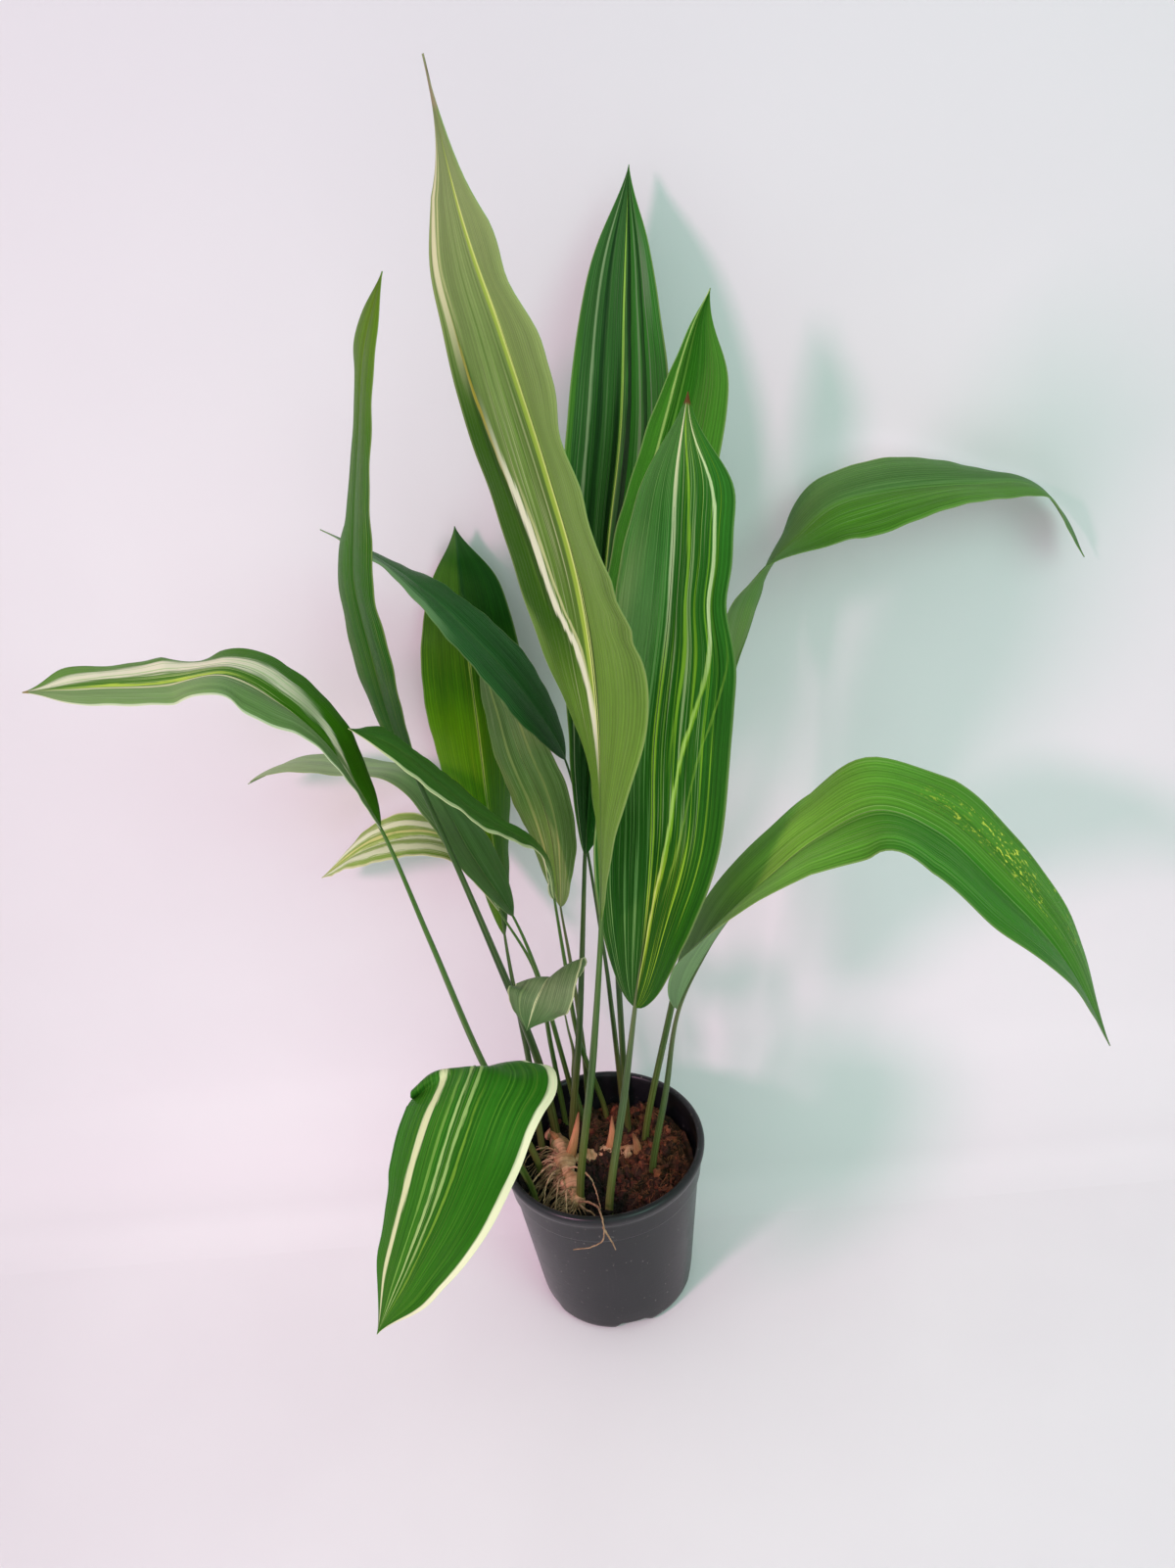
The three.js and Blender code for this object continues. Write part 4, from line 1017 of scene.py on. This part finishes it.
def pot_look():
    """Charcoal plastic with fine scuffs, dust and a greyer band at its foot"""
    look = Look("pot_plastic", ior=1.5, specular=0.42)
    place = look.object_place()
    x, y, z = look.split(place)
    round_place = look.node("CombineXYZ", {0: look.math("ARCTAN2", y, x), 1: z, 2: 0.0}).outputs[0]
    cloud = look.noise(place, 28.0, 4.0, 0.6)
    grain = look.noise(place, 900.0, 3.0, 0.6)
    scuff = look.grain(round_place, 9.0, 420.0, 4.0, 0.7)
    drips = look.grain(round_place, 34.0, 22.0, 4.0, 0.65)
    dots = look.noise(place, 330.0, 2.0, 0.5)
    colour = look.mottled(cloud, "121317", "1b1b1f")
    for code, strength, value, low, high in (("4a494c", 0.3, scuff, 0.6, 0.78),
                                             ("504e4c", 0.3, drips, 0.58, 0.8),
                                             ("7f7b74", 0.5, dots, 0.68, 0.76),
                                             ("3a3836", 0.3, z, 0.03, 0.0)):
        colour = look.tint(colour, code, strength, value, low, high)
    rough = look.math("ADD", look.level(cloud, 0.27, 0.36), look.span(scuff, 0.55, 0.75, 0.0, 0.15))
    height = look.math("MULTIPLY_ADD", scuff, 0.5, look.math("MULTIPLY", grain, 0.35))
    return look.finish(colour, rough, height, 0.18, 0.5)


pot = make_pot()
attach(pot, "root")
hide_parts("pot")


# The compost

# Everything scattered draws from this, in the order in which it is built
chance = np.random.default_rng(11)


def inner_radius(z):
    """Radius that the filling reaches at a height"""
    return base_radius + wall_slope * z - WALL - SOIL_ROOM


def lumps(x, y):
    """A smooth, repeatable unevenness, about -1 to 1"""
    total = 0.0
    for k, (turn, size) in enumerate(((0.3, 23.0), (1.4, 15.0), (2.4, 9.5), (3.3, 6.1), (4.6, 4.2))):
        onward = (x * math.cos(turn) + y * math.sin(turn)) / size
        total = total + np.sin(onward * 2 * np.pi + k * 1.7) / (k + 2)
    return total


def soil_height(x, y):
    """Height of the compost: low and hollow at the left, full at the right"""
    hollow = 9.0 * bell(x, -48, 20) * bell(y, -12, 34)
    hole = 7.0 * bell(x, 4, 13) * bell(y, -12, 18)
    return SOIL_LEVEL - 4.0 + 4.0 * lumps(x, y) - hollow - hole + 7.0 * eased(5, 45, x)


def random_spot(reach):
    """A place on the compost, within a distance of its middle"""
    radius = reach * math.sqrt(chance.uniform(0, 1))
    angle = chance.uniform(0, 2 * np.pi)
    return radius * math.cos(angle), radius * math.sin(angle)


def add_lump(shape, centre, size, kind):
    """An angular lump: a small ball whose corners are pushed about"""
    rings, sides = 4, 6
    latitude = np.linspace(-np.pi / 2, np.pi / 2, rings + 1)
    ball = np.array([ring_of(math.cos(a), math.sin(a), round_angles(sides)) for a in latitude])
    push = 1 + 0.28 * chance.standard_normal((rings + 1, sides, 1))
    push[0], push[-1] = push[0, 0], push[-1, 0]
    ball = ball * np.clip(push, 0.5, 1.6) * np.asarray(size)
    a, b, c = chance.uniform(0, 2 * np.pi, 3)
    turn = np.array(Matrix.Rotation(a, 3, "X") @ Matrix.Rotation(b, 3, "Y") @ Matrix.Rotation(c, 3, "Z"))
    ball = ball @ turn.T + np.asarray(centre)
    shape.body(ball[1:-1], ball[[0, -1], 0], kind)


def add_fibre(shape, x, y, outer):
    """A thin coir fibre that lies on the compost"""
    steps = np.linspace(-0.5, 0.5, 6)
    length = chance.uniform(*FIBRE_LENGTH)
    heading = chance.uniform(0, 2 * np.pi)
    x, y = bent_line(x, y, heading, length, chance.uniform(*FIBRE_BEND), steps, outer)
    z = soil_height(x, y) + chance.uniform(0.3, 2.6) + chance.uniform(-0.8, 1.2, 6)
    thick = chance.uniform(*FIBRE_RADIUS)
    shape.tube(np.stack([x, y, z], axis=-1), 4, lambda share, angle: thick * (1 - 0.3 * share), 2)


def make_compost():
    """The body of compost with lumps, chips of bark and coir fibres on it"""
    shape = Shape()
    angles = round_angles(120)
    rows = [ring_of(radius, z, angles)
            for radius, z in ((20, WALL + 1), (inner_radius(10) - 8, WALL + 1.5), (inner_radius(14), 14))]
    edge = inner_radius(SOIL_LEVEL - SOIL_EDGE_DROP)
    for share in np.linspace(1.0, 0.02, 44):
        radius = edge * share - 0.4
        rows.append(ring_of(radius, soil_height(radius * np.cos(angles), radius * np.sin(angles)), angles))
    rows = np.array(rows)
    shape.body(rows, rows[[0, -1]].mean(axis=1), 0)
    outer = edge - 3
    for _ in range(LUMP_COUNT):
        x, y = random_spot(outer)
        size = chance.uniform(*(SMALL_LUMP if chance.uniform(0, 1) < SMALL_LUMP_SHARE else LARGE_LUMP))
        kind = 1 if chance.uniform(0, 1) < 0.2 + 0.5 * eased(-10, 40, x) else 0
        z = soil_height(x, y) + size * chance.uniform(-0.2, 0.5)
        wide, high = size * chance.uniform(0.5, 1), size * chance.uniform(0.35, 0.8)
        add_lump(shape, (x, y, z), (size, wide, high), kind)
    for _ in range(CHIP_COUNT):
        x, y = random_spot(outer - 6)
        size = chance.uniform(*CHIP)
        add_lump(shape, (x, y, soil_height(x, y) + 0.8), (size, size * 0.6, size * 0.4), 1)
    for _ in range(FIBRE_COUNT):
        x, y = random_spot(outer - 2)
        if chance.uniform(0, 1) <= 0.3 + 0.7 * eased(-5, 35, x):
            add_fibre(shape, x, y, outer)
    return shape.make("compost", [compost_look("compost_dark", "35201a", "6a4328", 0.85),
                                  compost_look("bark_chips", "5c3020", "a05a38", 0.75),
                                  compost_look("coir_fibres", "7a4a2c", "b57c50", 0.8)], sharp=30.0)


def compost_look(name, dark, light, smoothest):
    """Bark and coir: broken browns that change from lump to lump, with painted shade towards the left and
    front
    """
    look = Look(name, ior=1.4)
    place = look.object_place()
    lump = look.node("NewGeometry").outputs["Random Per Island"]
    cloud = look.noise(place, 160.0, 5.0, 0.65)
    fine = look.noise(place, 1300.0, 4.0, 0.65)
    colour = look.mottled(cloud, dark, light)
    colour = look.mix(look.math("MULTIPLY", lump, 0.75), colour, "1c110b")
    colour = look.tint(colour, "9a7350", 0.3, fine, 0.6, 0.75)
    # painted shade: near black towards the left and front, where the compost lies low under the leaves and
    # the rim
    x, y, _ = look.split(place)
    colour = look.tint(colour, "080605", 0.9, look.math("MULTIPLY_ADD", y, 0.5, x), 0.018, -0.014)
    height = look.math("MULTIPLY_ADD", cloud, 1.5, fine)
    return look.finish(colour, look.level(fine, smoothest, 0.95), height, 0.8, 0.8)


compost = make_compost()
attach(compost, "root")
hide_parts("soil")


# The rhizome, its roots and the scale leaves

def rhizome_look():
    """Tan bark with darker rings"""
    look = Look("rhizome_bark", ior=1.4)
    _, along, _ = look.split(look.surface_place())
    cloud = look.noise(look.object_place(), 130.0, 5.0, 0.6)
    rings = look.math("SINE", look.math("MULTIPLY_ADD", cloud, 3.0, look.math("MULTIPLY", along, 130.0)))
    colour = look.mottled(cloud, "a47850", "dcb088")
    colour = look.tint(colour, "6a4a34", 0.35, rings, 0.5, 0.95)
    colour = look.tint(colour, "d8c4a0", 0.7, cloud, 0.62, 0.75)
    height = look.math("MULTIPLY_ADD", rings, 0.3, cloud)
    return look.finish(colour, look.level(cloud, 0.65, 0.85), height, 0.6, 0.7)


def root_look():
    """Bare roots, each with a brown of its own"""
    look = Look("root_skin", ior=1.4)
    strand = look.node("NewGeometry").outputs["Random Per Island"]
    cloud = look.noise(look.object_place(), 240.0, 4.0, 0.6)
    colour = look.mottled(cloud, "8f6a4a", "cda884")
    colour = look.mix(look.span(strand, 0.3, 1.0, 0.0, 0.6, smooth=False), colour, "6f5238")
    return look.finish(colour, look.level(cloud, 0.6, 0.8), cloud, 0.3)


def sheath_look():
    """Papery scale leaves, streaked along their length"""
    look = Look("scale_leaf", ior=1.42)
    place = look.surface_place()
    lines = look.grain(place, 30.0, 3.0, 3.0, 0.6)
    colour = look.ramp(look.split(place)[1], [(0.0, "94603c"), (0.35, "c98a5c"), (0.7, "e0926c"),
                                              (1.0, "8a4a34")])
    colour = look.tint(colour, "e0c08c", 0.55, lines, 0.5, 0.72)
    colour = look.tint(colour, "7a4a30", 0.4, lines, 0.5, 0.3)
    return look.finish(colour, look.level(lines, 0.5, 0.65), lines, 0.3)


def add_rhizome(shape, radius, route):
    """A knobbly ringed stem with rounded ends"""
    middles = along_route(route, even_places(route, 0.0, 1.0, np.linspace(0, 1, 80)))

    def radius_at(share, angle):
        knobs = 0.82 + 0.18 * np.cos(share * 26)
        ends = np.sqrt(np.clip(1 - (2 * share - 1) ** 16, 0.05, 1))
        rings = 0.02 * np.cos(share * 110 + 1.5 * np.sin(angle * 2))
        return radius * (knobs + rings + 0.07 * np.sin(3 * angle + share * 19)) * ends

    shape.tube(middles, 28, radius_at, 0)


def add_root(shape, radius, route):
    """A bare root that thins and wobbles along its route"""
    count = len(route) * 8
    wobble = chance.standard_normal((count, 3)) * 0.12
    wobble[0] = wobble[-1] = 0.0
    shape.tube(along_route(route, np.linspace(0, 1, count)) + wobble, 8,
               lambda share, angle: radius * (1 - 0.6 * share) * (1 + 0.1 * np.sin(share * 60)), 1)


def add_fine_root(shape):
    """A root that leaves the main rhizome and falls to its left and front"""
    steps = np.linspace(0, 1, 10)
    start = along_route(rhizomes[0][1], np.array([chance.uniform(0.25, 1.0)]))[0]
    heading = math.radians(chance.normal(*FINE_ROOT_HEADING))
    reach = chance.uniform(*FINE_ROOT_REACH)
    arch = chance.uniform(*FINE_ROOT_ARCH)
    bend = chance.uniform(*FINE_ROOT_BEND)
    x, y = bent_line(start[0], start[1], heading, reach, bend, steps, inner_radius(105) - 1.5)
    ground = soil_height(x, y)
    z = start[2] * (1 - steps) + (ground + 0.4) * steps + arch * 4 * steps * (1 - steps)
    z = np.maximum(z, ground + 0.2) + chance.normal(0, 0.25, 10)
    thick = chance.uniform(*FINE_ROOT_RADIUS)
    shape.tube(np.stack([x, y, z], axis=-1), 5, lambda share, angle: thick * (1 - 0.5 * share), 1)


def add_sheath(shape, radius, foot, tip):
    """A pointed scale leaf, folded and ribbed along its length"""
    foot, tip = np.array(foot, float), np.array(tip, float)
    bulge = foot + (tip - foot) * 0.45 + np.array([1.0, 1.0, 0.0])

    def radius_at(share, angle):
        fold = 1 - 0.16 * bell(angle, 3.6, 0.5)
        ribs = 1 + 0.03 * np.cos(angle * 9)
        return (radius * np.clip(1 - share, 0, 1) ** 0.7 + 0.3) * fold * ribs

    shape.tube(along_route([foot, bulge, tip], np.linspace(0, 1, 30)), 24, radius_at, 2)


def make_rhizome():
    """The rhizome with its roots, fine roots and scale leaves"""
    shape = Shape()
    for radius, route in rhizomes:
        add_rhizome(shape, radius, route)
    for radius, route in roots:
        add_root(shape, radius, route)
    for _ in range(FINE_ROOT_COUNT):
        add_fine_root(shape)
    for radius, foot, tip in sheaths:
        add_sheath(shape, radius, foot, tip)
    return shape.make("rhizome_and_roots", [rhizome_look(), root_look(), sheath_look()])


rhizome = make_rhizome()
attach(rhizome, "root")
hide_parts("rhizome")


# Floor, backdrop, light and camera

def make_wall():
    """A pale sheet that curves up from the floor behind the plant"""
    profile = [(-SWEEP_RADIUS * (1 - math.sin(angle)), SWEEP_RADIUS * (1 - math.cos(angle)))
               for angle in np.linspace(0, np.pi / 2, 12)]
    profile += [(0.0, 0.5), (0.0, 1.5), (0.0, 3.0)]
    left, right = np.array(WALL_LEFT + (0.0,)), np.array(WALL_RIGHT + (0.0,))
    back = unit(np.cross(np.array([0.0, 0.0, 1.0]), right - left))
    rows = np.array([[left + back * out + (0, 0, z), right + back * out + (0, 0, z)] for out, z in profile])
    shape = Shape()
    shape.grid(rows / MM, np.zeros((len(profile), 2, 2)), 0)
    return shape.make("backdrop", [backdrop_look("backdrop_sheet", one_sided=True)], sharp=80.0)


def make_floor():
    """A wide level sheet just under the pot"""
    corners = np.array([[(x, y, 0.0) for x in (-FLOOR_HALF, FLOOR_HALF)] for y in (-FLOOR_HALF, FLOOR_HALF)])
    shape = Shape()
    shape.grid(corners / MM - (0, 0, 0.05), np.zeros((2, 2, 2)), 0)
    return shape.make("floor", [backdrop_look("floor_sheet", one_sided=False)])


def backdrop_look(name, one_sided):
    """Matt white sheet with painted shade towards the top, the sides and the sweep; the wall's is seen from
    its front only
    """
    look = Look(name)
    place = look.object_place()
    cloud = look.noise(place, 3.0, 3.0, 0.5)
    rightward, _, height_above = look.split(place)
    colour = look.mottled(cloud, "e9e6e8", "efedee")
    # painted shade: darker towards the top of the wall
    colour = look.tint(colour, "d6d4d8", 0.9, height_above, 0.3, 1.1)
    # painted shade: darker away from the middle, to both sides
    colour = look.tint(colour, "d6d3d5", 0.8, look.math("ABSOLUTE", rightward), 0.15, 0.8)
    # painted shade along the sweep where the floor turns up into the wall
    sweep_shade = look.product(look.span(height_above, 0.0, 0.012), look.span(height_above, 0.1, 0.03), 0.35)
    colour = look.mix(sweep_shade, colour, "cfccce")
    material = look.finish(colour, 0.6, cloud, 2, 0.3)
    if one_sided:
        behind = look.node("NewGeometry").outputs["Backfacing"]
        clear = look.node("BsdfTransparent").outputs[0]
        joined = look.node("MixShader", {0: behind, 1: look.shader.outputs[0], 2: clear})
        look.feed(look.tree.nodes["Material Output"].inputs[0], joined.outputs[0])
    return material


def area_light(name, place, target, size, power, colour, even=False):
    """A round soft light; an even one is as bright far away as it is near"""
    data = bpy.data.lights.new(name, "AREA")
    if even:
        data.use_nodes = True
        tree = data.node_tree
        falloff = tree.nodes.new("ShaderNodeLightFalloff")
        falloff.inputs["Strength"].default_value = 1.0
        tree.links.new(falloff.outputs["Constant"], tree.nodes["Emission"].inputs["Strength"])
    data.shape = "DISK"
    data.size = size
    data.energy = power
    data.color = colour
    lamp = bpy.data.objects.new(name, data)
    lamp.location = place
    lamp.rotation_euler = (Vector(target) - Vector(place)).to_track_quat("-Z", "Y").to_euler()
    bpy.context.scene.collection.objects.link(lamp)


def make_camera():
    """The camera at the photograph's place, pitched down and rolled a little"""
    pitch, roll = math.radians(CAMERA_PITCH), math.radians(CAMERA_ROLL)
    forward = Vector((0.0, math.cos(pitch), -math.sin(pitch)))
    right = forward.cross(Vector((0.0, 0.0, 1.0))).normalized()
    up = right.cross(forward)
    turned_right = right * math.cos(roll) + up * math.sin(roll)
    turned_up = up * math.cos(roll) - right * math.sin(roll)
    data = bpy.data.cameras.new("photo_camera")
    data.lens = CAMERA_LENS
    data.sensor_width = SENSOR_SIZE
    camera = bpy.data.objects.new("photo_camera", data)
    turn = Matrix((turned_right, turned_up, -forward)).transposed()
    camera.matrix_world = Matrix.Translation(CAMERA_PLACE) @ turn.to_4x4()
    bpy.context.scene.collection.objects.link(camera)
    bpy.context.scene.camera = camera


make_floor()
make_wall()
area_light("key", place=(-0.85, -0.95, 1.05), target=(0.1, 0.1, 0.3), size=0.24, power=4.8,
           colour=(1.0, 0.47, 0.72), even=True)
area_light("fill", place=(1.6, -2.4, 2.2), target=(0.2, 0.0, 0.3), size=2.0, power=28.0,
           colour=(0.5, 1.0, 0.78))
world = bpy.data.worlds.new("studio")
world.use_nodes = True
background = world.node_tree.nodes["Background"]
background.inputs["Color"].default_value = SKY_COLOUR
background.inputs["Strength"].default_value = SKY_STRENGTH
bpy.context.scene.world = world
bpy.context.scene.view_settings.view_transform = "Standard"
make_camera()
